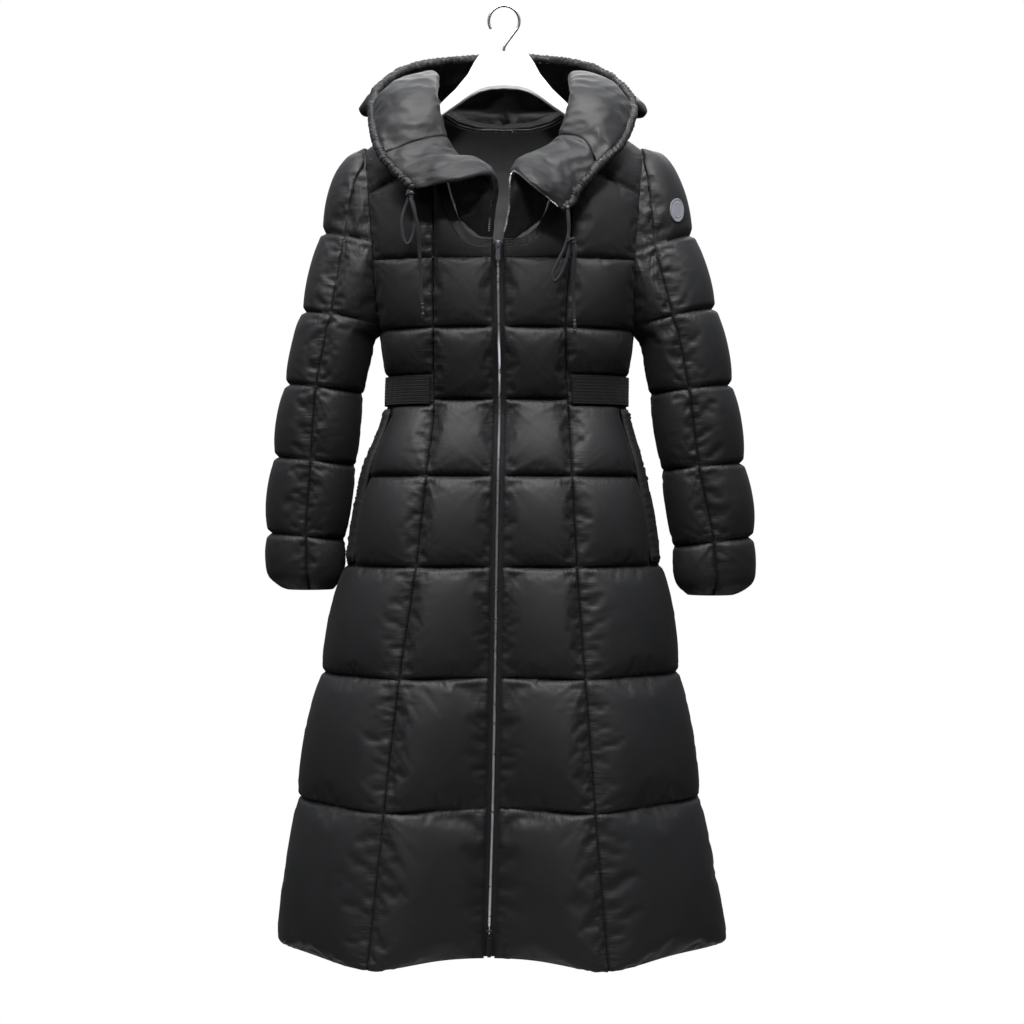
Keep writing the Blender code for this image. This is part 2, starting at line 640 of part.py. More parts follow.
def build_sleeves():
    for side, mark in SIDES:
        sleeve_front(side, mark)
        sleeve_outer(side, mark)


# ---------------------------------------------------------------- collar, hood and casing
def neckline_vertex(side, share):
    """Point on the body's neckline and the direction out of the cloth there."""
    face, a = (FRONT, share) if share <= 1 else (BACK, 2 - share)
    if a > 0.999:
        slope = math.atan2(NECK_Z - TIP_Z, TIP_X - NECK_X)
        return Vector((side * NECK_X, 0, NECK_Z)), Vector((side * math.sin(slope), 0, math.cos(slope)))
    here = body_point(side, face, a, TIP_Z)
    below = body_point(side, face, a, TIP_Z - 8 * MM)
    beside = body_point(side, face, max(a - 0.01, 0.0), TIP_Z) - body_point(side, face, min(a + 0.01, 1.0), TIP_Z)
    away = unit((here - below).cross(beside))
    if away.z < -0.3 or (abs(away.z) <= 0.3 and away.y * face < 0):
        away = -away
    return here, away


NECK_SHARES = FRONT_COLUMNS + tuple(2 - a for a in BACK_COLUMNS[-2::-1])


def hood_foot(side, s):
    """Where collar or hood starts: outside the straight runs between the body's columns."""
    share = catmull([row.neckline for row in STATIONS[side]], s)
    share = min(max(share, 0.0), 2.0)
    k = max(n for n in range(len(NECK_SHARES) - 1) if NECK_SHARES[n] <= share)
    first, last = NECK_SHARES[k], NECK_SHARES[k + 1]
    f = (share - first) / (last - first)
    ends = [neckline_vertex(side, v) for v in (first, last)]
    lap = LAP + SHOULDER_LAP * math.exp(-((share - 0.97) / 0.09) ** 2)
    return ends[0][0].lerp(ends[1][0], f) + unit(ends[0][1].lerp(ends[1][1], f)) * lap


def station_at(side, share):
    """Station whose foot meets the neckline at a share."""
    column = [row.neckline for row in STATIONS[side]]
    low, high = 0.0, float(LAST)
    for _ in range(40):
        middle = (low + high) / 2
        if catmull(column, middle) < share:
            low = middle
        else:
            high = middle
    return (low + high) / 2


def hood_point(side, s, t):
    """Middle surface of collar and hood: s counts stations, t is 0 at the seam and 1 at the rim."""
    across = [hood_foot(side, s)]
    for field in ("stand", "crest", "turn", "rim"):
        places = [Vector((side * v[0], v[1], v[2])) * MM for v in (getattr(row, field) for row in STATIONS[side])]
        across.append(catmull(places, s))
    return catmull(across, 4 * t)


def hood_normal(side, s, t):
    step = 0.02
    s0, s1 = max(s - step, 0), min(s + step, LAST)
    t0, t1 = max(t - step, 0), min(t + step, 1)
    along = hood_point(side, s1, t) - hood_point(side, s0, t)
    across = hood_point(side, s, t1) - hood_point(side, s, t0)
    return unit(across.cross(along)) * side


def rim_line(side):
    """Close points along the middle of the casing."""
    return [rim_centre(side, LAST * k / RIM_SAMPLES) for k in range(RIM_SAMPLES + 1)]


def wall_end(side, s, rim):
    """Share at which a station's wall comes up to the casing."""
    low, high = 0.7, 1.0
    for _ in range(14):
        middle = (low + high) / 2
        here = hood_point(side, s, middle)
        if min((here - place).length_squared for place in rim) > RIM_STOP**2:
            low = middle
        else:
            high = middle
    return low


def hood_wall(name, side, stations, zip_edge):
    """Padded wall over a run of stations, quilted on both faces."""
    rim = rim_line(side)
    ends = [wall_end(side, s, rim) for s in stations]
    step = 0.02
    grid, out = [], []
    for share_out in HOOD_SHARES:
        row, heights = [], []
        for k, s in enumerate(stations):
            t = share_out * ends[k]
            here = hood_point(side, s, t)
            away = hood_normal(side, s, t)
            if k in (0, len(stations) - 1):
                inner = 1 if k == 0 else -1
                along = unit(hood_point(side, s + inner * step, t) - here)
                if k == 0 and zip_edge:
                    here = here + along * TAPE_SHOWN
                else:
                    across = hood_point(side, s, min(t + step, 1)) - hood_point(side, s, max(t - step, 0))
                    here = here + clear_of(away, across, along, 5 * SEAM_GAP)
                if s == LAST:
                    here.x = side * SEAM_GAP
                    away = unit(Vector((0, away.y, away.z)))
            share, _ = block_share(HOOD_SEAMS if s >= COLLAR_END else (0.0, COLLAR_END), s)
            row.append((here, away))
            heights.append(WALL / 2 + PUFF_HOOD * puff(share) * puff(share_out) * min(1.0, share_out / 0.5))
        grid.append(row)
        out.append(heights)
    return padded_wall(name, nylon(name), grid, out, out)


def rim_centre(side, s):
    return hood_point(side, s, 1.0)


def casing(name, side):
    """The hood's gathered edge: a tube whose radius swells between its gathers."""
    count, around = 2 * RIM_GATHERS, 6
    bm = bmesh.new()
    rings = []
    for k in range(count + 1):
        s = LAST * k / count
        centre = rim_centre(side, s)
        ahead = rim_centre(side, min(s + 0.05, LAST)) - rim_centre(side, max(s - 0.05, 0))
        along = unit(ahead)
        if k == count:
            centre.x = side * SEAM_GAP
            along = Vector((-side, 0, 0))
        across = unit(hood_normal(side, s, 1.0))
        across = unit(across - along * across.dot(along))
        other = along.cross(across)
        swell = 1.06 if k % 2 else 0.9
        if k in (0, count):
            swell = 0.8
        ring = []
        for n in range(around):
            angle = 2 * math.pi * n / around
            ring.append(bm.verts.new(centre + (across * math.cos(angle) + other * math.sin(angle))
                                     * RIM_RADIUS * swell))
        rings.append(ring)
    for first, second in zip(rings, rings[1:]):
        for n in range(around):
            m = (n + 1) % around
            bm.faces.new((first[n], first[m], second[m], second[n]))
    bm.faces.new(rings[0])
    bm.faces.new(rings[-1])
    return put(name, bm, nylon(name), 60)


def build_hood():
    for side, mark in SIDES:
        collar_stations = [0.0] + [station_at(side, v) for v in (0.15, 0.33, 0.5, 0.66)] + [COLLAR_END]
        hood_stations = [COLLAR_END, 3.5, 4.0, station_at(side, 0.985), 5.0, 5.5, 6.0, station_at(side, 1.15)]
        hood_stations += [7.0, station_at(side, 1.4), 8.2, station_at(side, 1.7), 9.4, float(LAST)]
        hood_wall("collar_" + mark, side, collar_stations, True)
        hood_wall("hood_" + mark, side, hood_stations, False)
        casing("hood_rim_" + mark, side)


# ---------------------------------------------------------------- zip
def ribbon(name, finish, rows, thickness):
    """Flat strip: each row gives its left point, its right point and the way out."""
    bm = bmesh.new()
    rings = []
    for left, right, away in rows:
        half = away * thickness / 2
        rings.append([bm.verts.new(p) for p in (left + half, right + half, right - half, left - half)])
    for first, second in zip(rings, rings[1:]):
        for n in range(4):
            m = (n + 1) % 4
            bm.faces.new((first[n], first[m], second[m], second[n]))
    bm.faces.new(rings[0])
    bm.faces.new(rings[-1])
    return put(name, bm, finish, 30)


def tube_mesh(name, finish, centres, radius, around=6):
    """Round strip through a list of centres."""
    bm = bmesh.new()
    rings = []
    last = len(centres) - 1
    for k, centre in enumerate(centres):
        along = unit(centres[min(k + 1, last)] - centres[max(k - 1, 0)])
        across = unit(along.cross(Vector((0, -1, 0.3))))
        other = along.cross(across)
        rings.append([bm.verts.new(centre + (across * math.cos(2 * math.pi * n / around)
                                             + other * math.sin(2 * math.pi * n / around)) * radius)
                      for n in range(around)])
    for first, second in zip(rings, rings[1:]):
        for n in range(around):
            m = (n + 1) % around
            bm.faces.new((first[n], first[m], second[m], second[n]))
    bm.faces.new(rings[0])
    bm.faces.new(rings[-1])
    return put(name, bm, finish, 60)


def zip_line(z):
    """Middle of the closed zip at a height, on the fronts' middle surface."""
    row = hermite(LEVELS, "z", min(z, CHEST_Z))
    right = body_point(RIGHT, FRONT, 0.0, min(z, CHEST_Z))
    left = body_point(LEFT, FRONT, 0.0, min(z, CHEST_Z))
    middle = (right + left) / 2
    return Vector((row.zip, middle.y, z))


def closed_zip():
    """Two tapes behind the fronts and the chain of teeth between them."""
    heights = [SLIDER_TOP_Z] + [z for z in body_rows()[0] if z < SLIDER_TOP_Z - 5 * MM]
    heights[-1] += 2 * MM
    away = Vector((0, -1, 0))
    for side, mark in SIDES:
        rows = []
        for z in heights:
            middle = zip_line(z) - away * TAPE_BEHIND
            near = middle + Vector((side * SEAM_GAP, 0, 0))
            edge = body_point(side, FRONT, 0.06, min(z, CHEST_Z))
            far = Vector((middle.x + side * (ZIP_HALF + 5 * MM), edge.y - away.y * TAPE_BEHIND, z))
            rows.append((near, far, away))
        ribbon("zip_tape_" + mark, woven("zip_tape_" + mark), rows, TAPE)
    rows = []
    chain_top, chain_bottom = SLIDER_TOP_Z - 10 * MM, SLIDER_BOTTOM_Z + 10 * MM
    inside = [z for z in heights if chain_bottom + 5 * MM < z < chain_top - 5 * MM]
    for z in [chain_top] + inside + [chain_bottom]:
        front = TAPE_BEHIND - TAPE / 2 - 0.6 * MM - CHAIN_DEEP / 2
        middle = zip_line(z) - away * front
        rows.append((middle - Vector((CHAIN_HALF, 0, 0)), middle + Vector((CHAIN_HALF, 0, 0)), away))
    ribbon("zip_chain", metal("zip_chain", SILVER), rows, CHAIN_DEEP)


def open_zip():
    """Tape and teeth along the turned-out edges of the collar."""
    for side, mark in SIDES:
        tape_rows, teeth = [], []
        end = wall_end(side, 0.0, rim_line(side))
        for t in (0.06,) + tuple(share * end for share in HOOD_SHARES[1:]):
            here = hood_point(side, 0.0, t)
            into = unit(hood_point(side, 0.02, t) - here)
            away = hood_normal(side, 0.0, t)
            away = unit(away - into * away.dot(into))
            tape_rows.append((here + into * 2.0 * MM, here + into * (TAPE_SHOWN - 0.6 * MM), away))
            teeth.append(here)
        ribbon("collar_tape_" + mark, woven("collar_tape_" + mark), tape_rows, TAPE)
        tube_mesh("zip_teeth_" + mark, metal("zip_teeth_" + mark, SILVER), teeth, TEETH_RADIUS)


def slider(name, place):
    """Slider body with a bridge that its pull hangs from."""
    width, deep, tall = SLIDER
    bm = bmesh.new()
    bmesh.ops.create_cube(bm, size=1.0)
    for v in bm.verts:
        narrow = 0.7 if v.co.z < 0 else 1.0
        v.co = Vector((v.co.x * width * narrow, v.co.y * deep, v.co.z * tall))
    bmesh.ops.bevel(bm, geom=list(bm.edges), offset=0.8 * MM, segments=2, profile=0.5, affect="EDGES")
    finish = metal(name, GUNMETAL)
    body = put(name, bm, finish)
    body.location = place
    arch = bmesh.new()
    profile = [(-2.2, 5.0), (-5.6, 4.2), (-6.6, 2.5), (-6.6, -2.5), (-5.6, -4.2), (-2.2, -5.0),
               (-2.2, -3.6), (-4.7, -3.0), (-5.4, -2.0), (-5.4, 2.0), (-4.7, 3.0), (-2.2, 3.6)]
    ring = [arch.verts.new((-0.8 * MM, y * MM, z * MM)) for y, z in profile]
    face = arch.faces.new(ring)
    moved = bmesh.ops.extrude_face_region(arch, geom=[face])
    bmesh.ops.translate(arch, verts=[g for g in moved["geom"] if isinstance(g, bmesh.types.BMVert)],
                        vec=(1.6 * MM, 0, 0))
    bridge = put(name + "_bridge", arch, finish)
    bridge.location = place
    bridge.hide_render = True
    bridge.display_type = "WIRE"
    join = body.modifiers.new("bridge", "BOOLEAN")
    join.operation = "UNION"
    join.solver = "EXACT"
    join.object = bridge
    return body


def pull(name, pivot, length):
    """Flat tab with an eye, hanging from the slider's bridge. Its origin is on the axis."""
    bm = bmesh.new()
    half, eye, top = 3.5 * MM, 2.0 * MM, 0.65 * MM
    outer = [(-half * 0.75, top), (half * 0.75, top), (half, -1.5 * MM), (half * 0.8, -9 * MM),
             (half, -length + 3 * MM), (half * 0.6, -length), (-half * 0.6, -length),
             (-half, -length + 3 * MM), (-half * 0.8, -9 * MM), (-half, -1.5 * MM)]
    hole = [(-eye * 0.8, -top), (eye * 0.8, -top), (eye, -1.8 * MM), (eye, -5 * MM), (eye * 0.6, -6 * MM),
            (0, -6.3 * MM), (-eye * 0.6, -6 * MM), (-eye, -5 * MM), (-eye, -1.8 * MM)]
    thick = 1.3 * MM
    loops = []
    for points in (outer, hole):
        verts = [bm.verts.new((x, -thick / 2, z)) for x, z in points]
        loops += [bm.edges.new((a, b)) for a, b in zip(verts, verts[1:] + verts[:1])]
    filled = bmesh.ops.triangle_fill(bm, edges=loops, use_beauty=True)
    faces = [g for g in filled["geom"] if isinstance(g, bmesh.types.BMFace)]
    moved = bmesh.ops.extrude_face_region(bm, geom=faces)
    bmesh.ops.translate(bm, verts=[g for g in moved["geom"] if isinstance(g, bmesh.types.BMVert)],
                        vec=(0, thick, 0))
    made = put(name, bm, metal(name, GUNMETAL))
    made.location = pivot
    return made


def build_zip():
    closed_zip()
    open_zip()
    for name, z, length in (("top", SLIDER_TOP_Z - 3 * MM, TOP_PULL), ("bottom", SLIDER_BOTTOM_Z, BOTTOM_PULL)):
        place = zip_line(z) + Vector((0, -1.2 * MM, 0))
        slider(name + "_slider", place)
        pull(name + "_pull", place + Vector((0, -PULL_AHEAD, 0)), length)


# ---------------------------------------------------------------- trims
def waist_elastic():
    """Ribbed band round the side panels and the back, laid on their walls."""
    top, bottom = WAIST_TOP - 2 * MM, WAIST_BOTTOM + 2 * MM
    out = WALL / 2 + 0.5 * MM + 0.9 * MM
    path = [(RIGHT, FRONT, 1.04 + 0.96 * k / 8) for k in range(9)]
    path += [(RIGHT, BACK, 2 - 2 * k / 14) for k in range(1, 14)]
    path += [(LEFT, BACK, 2 * k / 14) for k in range(0, 14)]
    path += [(LEFT, FRONT, 2 - 0.96 * k / 8) for k in range(0, 9)]
    rows = []
    for side, face, a in path:
        pair = []
        for z in (top, bottom):
            _, away = body_row(side, face, z, (a,))[0]
            here = body_point(side, face, a, z)
            pair.append(here + away * out)
        rows.append((pair[0], pair[1], away))
    return ribbon("waist_elastic", woven("waist_elastic"), rows, 1.8 * MM)


def pocket_welts():
    """Narrow folded strips along the hip, on the grid of the side fronts."""
    heights = [z for z in body_rows()[0] if POCKET_BOTTOM <= z <= POCKET_TOP]
    heights = heights[1:-1]
    out = WALL / 2 + 0.4 * MM + 1.2 * MM
    for side, mark in SIDES:
        rows = []
        for z in heights:
            near, away = body_row(side, FRONT, z, (WELT_FROM,))[0]
            far, other = body_row(side, FRONT, z, (WELT_TO,))[0]
            rows.append((near + away * out, far + other * out, unit(away + other)))
        ribbon("pocket_welt_" + mark, nylon("pocket_welt_" + mark), rows, 2.4 * MM)


def drawcords():
    """Round cords, each with an eyelet above and a metal tip below."""
    for side, mark in SIDES:
        route = [Vector(p) * MM for p in CORD_ROUTES[side]]
        last = len(route) - 1
        curve = bpy.data.curves.new("drawcord_" + mark, "CURVE")
        curve.dimensions = "3D"
        curve.bevel_depth = CORD_RADIUS
        curve.bevel_resolution = 2
        curve.use_fill_caps = True
        line = curve.splines.new("POLY")
        line.points.add(CORD_POINTS - 1)
        for k in range(CORD_POINTS):
            line.points[k].co = (*catmull(route, last * k / (CORD_POINTS - 1)), 1)
        curve.materials.append(woven("drawcord_" + mark))
        cord = bpy.data.objects.new("drawcord_" + mark, curve)
        bpy.context.collection.objects.link(cord)
        end, before = route[-1], catmull(route, last - 0.05)
        along = unit(end - before)
        tip = [end + along * d * MM for d in (0.4, 2, 8, 17, 18.5)]
        tube_mesh("cord_tip_" + mark, metal("cord_tip_" + mark, SILVER), tip, 2.4 * MM, 8)
        ring_centre = route[0] - unit(route[1] - route[0]) * 1.6 * MM
        eyelet("cord_eyelet_" + mark, ring_centre, unit(route[1] - route[0]))


def eyelet(name, centre, along):
    """Flanged metal ring that the cord leaves the casing through."""
    bm = bmesh.new()
    profile = [(2.6, 0.0), (4.6, 0.0), (4.9, -0.6), (4.2, -1.3), (3.0, -1.3), (2.6, -0.8)]
    across = unit(along.cross(Vector((1, 0, 0))))
    rim = [bm.verts.new(across * r * MM + along * h * MM) for r, h in profile]
    edges = [bm.edges.new((a, b)) for a, b in zip(rim, rim[1:] + rim[:1])]
    bmesh.ops.spin(bm, geom=rim + edges, cent=(0, 0, 0), axis=along, steps=12, angle=2 * math.pi,
                   use_merge=True)
    bmesh.ops.translate(bm, verts=bm.verts, vec=centre)
    return put(name, bm, metal(name, SILVER))


def sleeve_patch():
    """Plain oval patch on the left sleeve."""
    middle_z, middle_angle = -318 * MM, 42
    half_tall, half_wide = 19 * MM, 12.5 * MM
    bm = bmesh.new()
    layers = []
    for out in (1.4 * MM, 2.6 * MM):
        rings = [[(0.0, 0.0)]] + [[(r * math.cos(math.tau * n / 20), r * math.sin(math.tau * n / 20))
                                   for n in range(20)] for r in (0.5, 1.0)]
        layer = []
        for ring in rings:
            verts = []
            for u, v in ring:
                z = middle_z + v * half_tall
                row = arm_row(LEFT, z)
                angle = math.radians(middle_angle) - u * half_wide / row[2]
                here, away = arm_vertex(LEFT, z, angle, 0)
                _, _, _, _, cut, seam = row
                share = (seam - angle) / (seam + cut)
                relief = sleeve_relief(LEFT, share, z)
                verts.append(bm.verts.new(here + away * (WALL / 2 + relief + out)))
            layer.append(verts)
        layers.append(layer)
    for layer in layers:
        core, mid, edge = layer
        for n in range(20):
            m = (n + 1) % 20
            bm.faces.new((core[0], mid[n], mid[m]))
            bm.faces.new((mid[n], edge[n], edge[m], mid[m]))
    for n in range(20):
        m = (n + 1) % 20
        bm.faces.new((layers[0][2][n], layers[0][2][m], layers[1][2][m], layers[1][2][n]))
    return put("sleeve_patch", bm, material("sleeve_patch_felt", PATCH_GREY, 0.8))


# ---------------------------------------------------------------- hanger
def hanger():
    """Moulded hanger, lofted from end to end, with a wire hook."""
    bm = bmesh.new()
    stations = [(-row.x, row) for row in HANGER[:0:-1]] + [(row.x, row) for row in HANGER]
    rings = []
    for x, row in stations:
        middle, half = (row.top + row.bottom) / 2, (row.top - row.bottom) / 2
        soft = 0.55
        ring = []
        for n in range(12):
            angle = 2 * math.pi * (n + 0.5) / 12
            c, s = math.cos(angle), math.sin(angle)
            y = row.half_depth * math.copysign(abs(c) ** soft, c)
            z = middle + half * math.copysign(abs(s) ** soft, s)
            ring.append(bm.verts.new((x, y, z)))
        rings.append(ring)
    for first, second in zip(rings, rings[1:]):
        for n in range(12):
            m = (n + 1) % 12
            bm.faces.new((first[n], first[m], second[m], second[n]))
    bm.faces.new(rings[0])
    bm.faces.new(rings[-1])
    put("hanger_body", bm, material("hanger_body_plastic", WHITE, 0.25), 50)
    centre_z = HOOK_WIRE - HOOK_RADIUS
    stem_z = HANGER[0].top + 0.8 * MM
    route = [Vector((0, 0, stem_z)), Vector((0, 0, stem_z + 5 * MM)), Vector((4 * MM, 0, stem_z + 12 * MM))]
    for degrees in range(-45, 216, 15):
        angle = math.radians(degrees)
        route.append(Vector((HOOK_RADIUS * math.cos(angle), 0, centre_z + HOOK_RADIUS * math.sin(angle))))
    curve = bpy.data.curves.new("hanger_hook", "CURVE")
    curve.dimensions = "3D"
    curve.bevel_depth = HOOK_WIRE
    curve.bevel_resolution = 2
    curve.use_fill_caps = True
    line = curve.splines.new("POLY")
    count = 32
    line.points.add(count - 1)
    for k in range(count):
        line.points[k].co = (*catmull(route, (len(route) - 1) * k / (count - 1)), 1)
    curve.materials.append(metal("hanger_hook", SILVER))
    bpy.context.collection.objects.link(bpy.data.objects.new("hanger_hook", curve))


clear_scene()
build_body()
build_sleeves()
build_hood()
build_zip()
waist_elastic()
pocket_welts()
drawcords()
sleeve_patch()
hanger()
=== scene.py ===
# %% [markdown]
# # A long hooded puffer coat on a hanger
# A down coat is two thin layers of nylon with feathers between them. Rows of stitching hold
# the feathers in place, so each block swells between its seams and the cloth gathers at the
# stitches. This lesson dresses a plain CAD model of such a coat. The CAD gives the place of
# every wall; each cell below remakes one piece on the same surface, but finer, softer and
# with a real finish.

# %% Load the CAD frame
from collections import namedtuple
from functools import lru_cache
from itertools import accumulate
import math

import bmesh
import bpy
import numpy as np
from mathutils import Matrix, Vector, noise
from mathutils.bvhtree import BVHTree


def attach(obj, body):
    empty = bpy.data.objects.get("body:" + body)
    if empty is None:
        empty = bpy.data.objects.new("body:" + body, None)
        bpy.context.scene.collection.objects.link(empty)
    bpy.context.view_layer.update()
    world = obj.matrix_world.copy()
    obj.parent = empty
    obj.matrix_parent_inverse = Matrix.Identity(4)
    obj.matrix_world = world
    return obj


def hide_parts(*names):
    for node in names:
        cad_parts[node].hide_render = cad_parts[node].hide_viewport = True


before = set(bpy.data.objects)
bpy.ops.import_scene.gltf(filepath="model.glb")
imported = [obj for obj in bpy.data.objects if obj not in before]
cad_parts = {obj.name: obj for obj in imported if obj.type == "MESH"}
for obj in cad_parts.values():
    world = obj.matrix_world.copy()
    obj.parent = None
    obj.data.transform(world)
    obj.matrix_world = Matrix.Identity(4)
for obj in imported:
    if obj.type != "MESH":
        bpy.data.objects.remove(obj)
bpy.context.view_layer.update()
MM = 0.001
RIGHT, LEFT = -1, 1
FRONT, BACK = -1, 1
SIDES = ((RIGHT, "r"), (LEFT, "l"))
print("CAD nodes:", len(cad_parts))

# %% [markdown]
# ## Camera
# A hanging garment is shown from some metres away with the lens level with its middle, so
# that the sides don't lean. The camera looks along +Y.

# %% Camera
def add_object(name, data):
    """A new object in the scene."""
    made = bpy.data.objects.new(name, data)
    bpy.context.collection.objects.link(made)
    return made


camera_data = bpy.data.cameras.new("camera")
DISTANCE, VIEW_WIDTH = 3.0, 1.4746  # metres to the zip's plane, and what the view spans there
camera_data.sensor_width = 36
camera_data.lens = camera_data.sensor_width * DISTANCE / VIEW_WIDTH
camera = add_object("camera", camera_data)
camera.location = (0.0115, -DISTANCE, -0.727)
camera.rotation_euler = (math.radians(90), 0, 0)
bpy.context.scene.camera = camera
print("lens:", round(camera_data.lens, 1), "mm")

# %% [markdown]
# ## Helpers for curves and surfaces
# A tailor's pattern is a table of a few measurements with smooth lines through them. The two
# readers below do the same: one reads a table of levels, the other a row of points.

# %% Read a table of levels
def hermite(table, key, value):
    """Read a table of rows smoothly at a value of its falling key column."""
    keys = [getattr(row, key) for row in table]
    value = min(max(value, keys[-1]), keys[0])
    i = max(k for k in range(len(keys) - 1) if keys[k] >= value)
    span = keys[i + 1] - keys[i]
    t = (value - keys[i]) / span
    weights = (2 * t**3 - 3 * t**2 + 1, t**3 - 2 * t**2 + t, -2 * t**3 + 3 * t**2, t**3 - t**2)

    def slope(k, field):
        if k in (0, len(keys) - 1):
            return 0.0
        before = (table[k][field] - table[k - 1][field]) / (keys[k] - keys[k - 1])
        after = (table[k + 1][field] - table[k][field]) / (keys[k + 1] - keys[k])
        return 0.0 if before * after <= 0 else 2 * before * after / (before + after)

    read = []
    for field in range(len(table[0])):
        a, b = table[i][field], table[i + 1][field]
        read.append(weights[0] * a + weights[1] * span * slope(i, field)
                    + weights[2] * b + weights[3] * span * slope(i + 1, field))
    return type(table[0])(*read)


# %% Read a row of points
def catmull(points, t):
    """Point of a smooth curve through points, t from 0 to len(points) - 1."""
    last = len(points) - 1
    i = min(int(t), last - 1)
    f = t - i
    p1, p2 = points[i], points[i + 1]
    p0 = points[i - 1] if i > 0 else p1 * 2 - p2
    p3 = points[i + 2] if i + 2 <= last else p2 * 2 - p1
    return 0.5 * (p1 * 2 + (p2 - p0) * f + (p0 * 2 - p1 * 5 + p2 * 4 - p3) * f**2
                  + (p1 * 3 - p0 - p2 * 3 + p3) * f**3)


# %% Height of a stuffed block
def puff(share):
    """Height of a stuffed block across its width, 0 at its seams and 1 in its middle."""
    share = min(max(share, 0.0), 1.0)
    return (1 - abs(2 * share - 1) ** 2.6) ** 0.5


def block_share(lines, value):
    """How far a value lies through the block of quilting lines that holds it, and its size."""
    for top, bottom in zip(lines, lines[1:]):
        if (top - value) * (bottom - value) <= 1e-12 and top != bottom:
            return (value - top) / (bottom - top), abs(bottom - top)
    return 0.0, 1.0


# %% [markdown]
# ## Helpers that every piece uses
# `finish_piece` turns a bmesh into an object that rides with the coat, and `cloth_grid`
# starts a piece as a flat grid, as cloth comes off the roll, and then puts each of its
# crossings where the pattern says. A tube starts as such a grid too, rolled round a line.

# %% Piece helpers
def unit(v):
    return v.normalized()


def mesh_of(bm, name):
    """The mesh of a bmesh, which is freed."""
    mesh = bpy.data.meshes.new(name)
    bm.to_mesh(mesh)
    bm.free()
    return mesh


def finish_piece(name, bm, smooth=60):
    """Make a bmesh a shaded object that rides with the coat."""
    mesh = mesh_of(bm, name)
    mesh.shade_smooth()
    mesh.set_sharp_from_angle(angle=math.radians(smooth))
    made = add_object(name, mesh)
    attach(made, "coat")
    return made


def cloth_grid(rows, cols, place):
    """A grid of quads whose crossing (i, j) lies at place(i, j)."""
    bm = bmesh.new()
    bm.loops.layers.uv.new("UVMap")
    bm.verts.layers.deform.verify()
    bmesh.ops.create_grid(bm, x_segments=cols - 1, y_segments=rows - 1, size=0.5, calc_uvs=True)
    crossings = {}
    for v in bm.verts:
        j = round((v.co.x + 0.5) * (cols - 1))
        i = round((0.5 - v.co.y) * (rows - 1))
        crossings[i, j] = v
    for (i, j), v in crossings.items():
        v.co = place(i, j)
    return bm, crossings


# %% Lines and tubes
def lengths_along(points):
    """Length of a line of points up to each of them."""
    return [0.0, *accumulate((b - a).length for a, b in zip(points, points[1:]))]


def every(points, pitch):
    """Indices of the points that a step of pitch along their line comes to."""
    found = []
    for k, run in enumerate(lengths_along(points)):
        if run >= len(found) * pitch:
            found.append(k)
    return found


def direction(points, k):
    """Direction of a line of points at point k."""
    return unit(points[min(k + 1, len(points) - 1)] - points[max(k - 1, 0)])


def rolled(name, centres, frames, around, radius_at):
    """A closed tube: rings in the frames of their centres, with radius_at(ring, angle)."""
    def place(i, j):
        angle = math.tau * i / around
        across, other = frames[j]
        out = across * math.cos(angle) + other * math.sin(angle)
        return centres[j] + out * radius_at(j, angle)

    bm, _ = cloth_grid(around + 1, len(centres), place)
    bmesh.ops.remove_doubles(bm, verts=bm.verts, dist=0.001 * MM)
    bmesh.ops.holes_fill(bm, edges=[e for e in bm.edges if e.is_boundary], sides=around)
    bmesh.ops.recalc_face_normals(bm, faces=bm.faces)
    return finish_piece(name, bm)


def tube(name, centres, radius, around=12):
    """A round tube through centres, closed at both ends."""
    frames, across = [], None
    for k in range(len(centres)):
        along = direction(centres, k)
        across = unit(along.orthogonal() if across is None else across - along * across.dot(along))
        frames.append((across, along.cross(across)))
    return rolled(name, centres, frames, around, lambda j, angle: radius)

# %% [markdown]
# ## Drawcords
# The hood is drawn in with a cord about 5 mm thick. Each end leaves the casing through a
# metal eyelet, makes one loop, is knotted and hangs down to a metal tip. Its route is a row
# of points, and the length of the cord is the length of that route.

# %% Cord routes
CORD_RADIUS = 2.4 * MM
CORD_ROUTES = {
    RIGHT: [  # x, y, z in millimetres
        (-126, -165, -294), (-131, -167, -306), (-138, -166, -328), (-137, -163, -352),
        (-131, -161, -363), (-124, -161, -352), (-120, -163, -328), (-123, -169, -307),
        (-127, -175, -296), (-124, -177, -309), (-118, -172, -332), (-115, -160, -362),
        (-114, -150, -395), (-113, -144, -425), (-112, -141, -440),
    ],
    LEFT: [
        (87, -168, -314), (88, -168, -327), (89, -165, -345), (84, -163, -366),
        (74, -160, -386), (67, -158, -402), (70, -157, -413), (79, -160, -402),
        (88, -166, -378), (92, -171, -358), (97, -171, -366), (96, -163, -390),
        (95, -153, -420), (96, -147, -446), (97, -144, -463),
    ],
}
CORD_POINTS = 72

# %% [markdown]
# ## The surface of the body
# The coat is cut in seven panels: a front centre and a front side on each half, and three at
# the back. The cloth between them hangs on the hanger's arms and widens to the hem. Its
# surface is read from a table of levels. On a level, the section is a squarish ellipse that
# rises to a soft fold at each princess seam. Above the chest, the columns lean to the neck
# and to the shoulder.

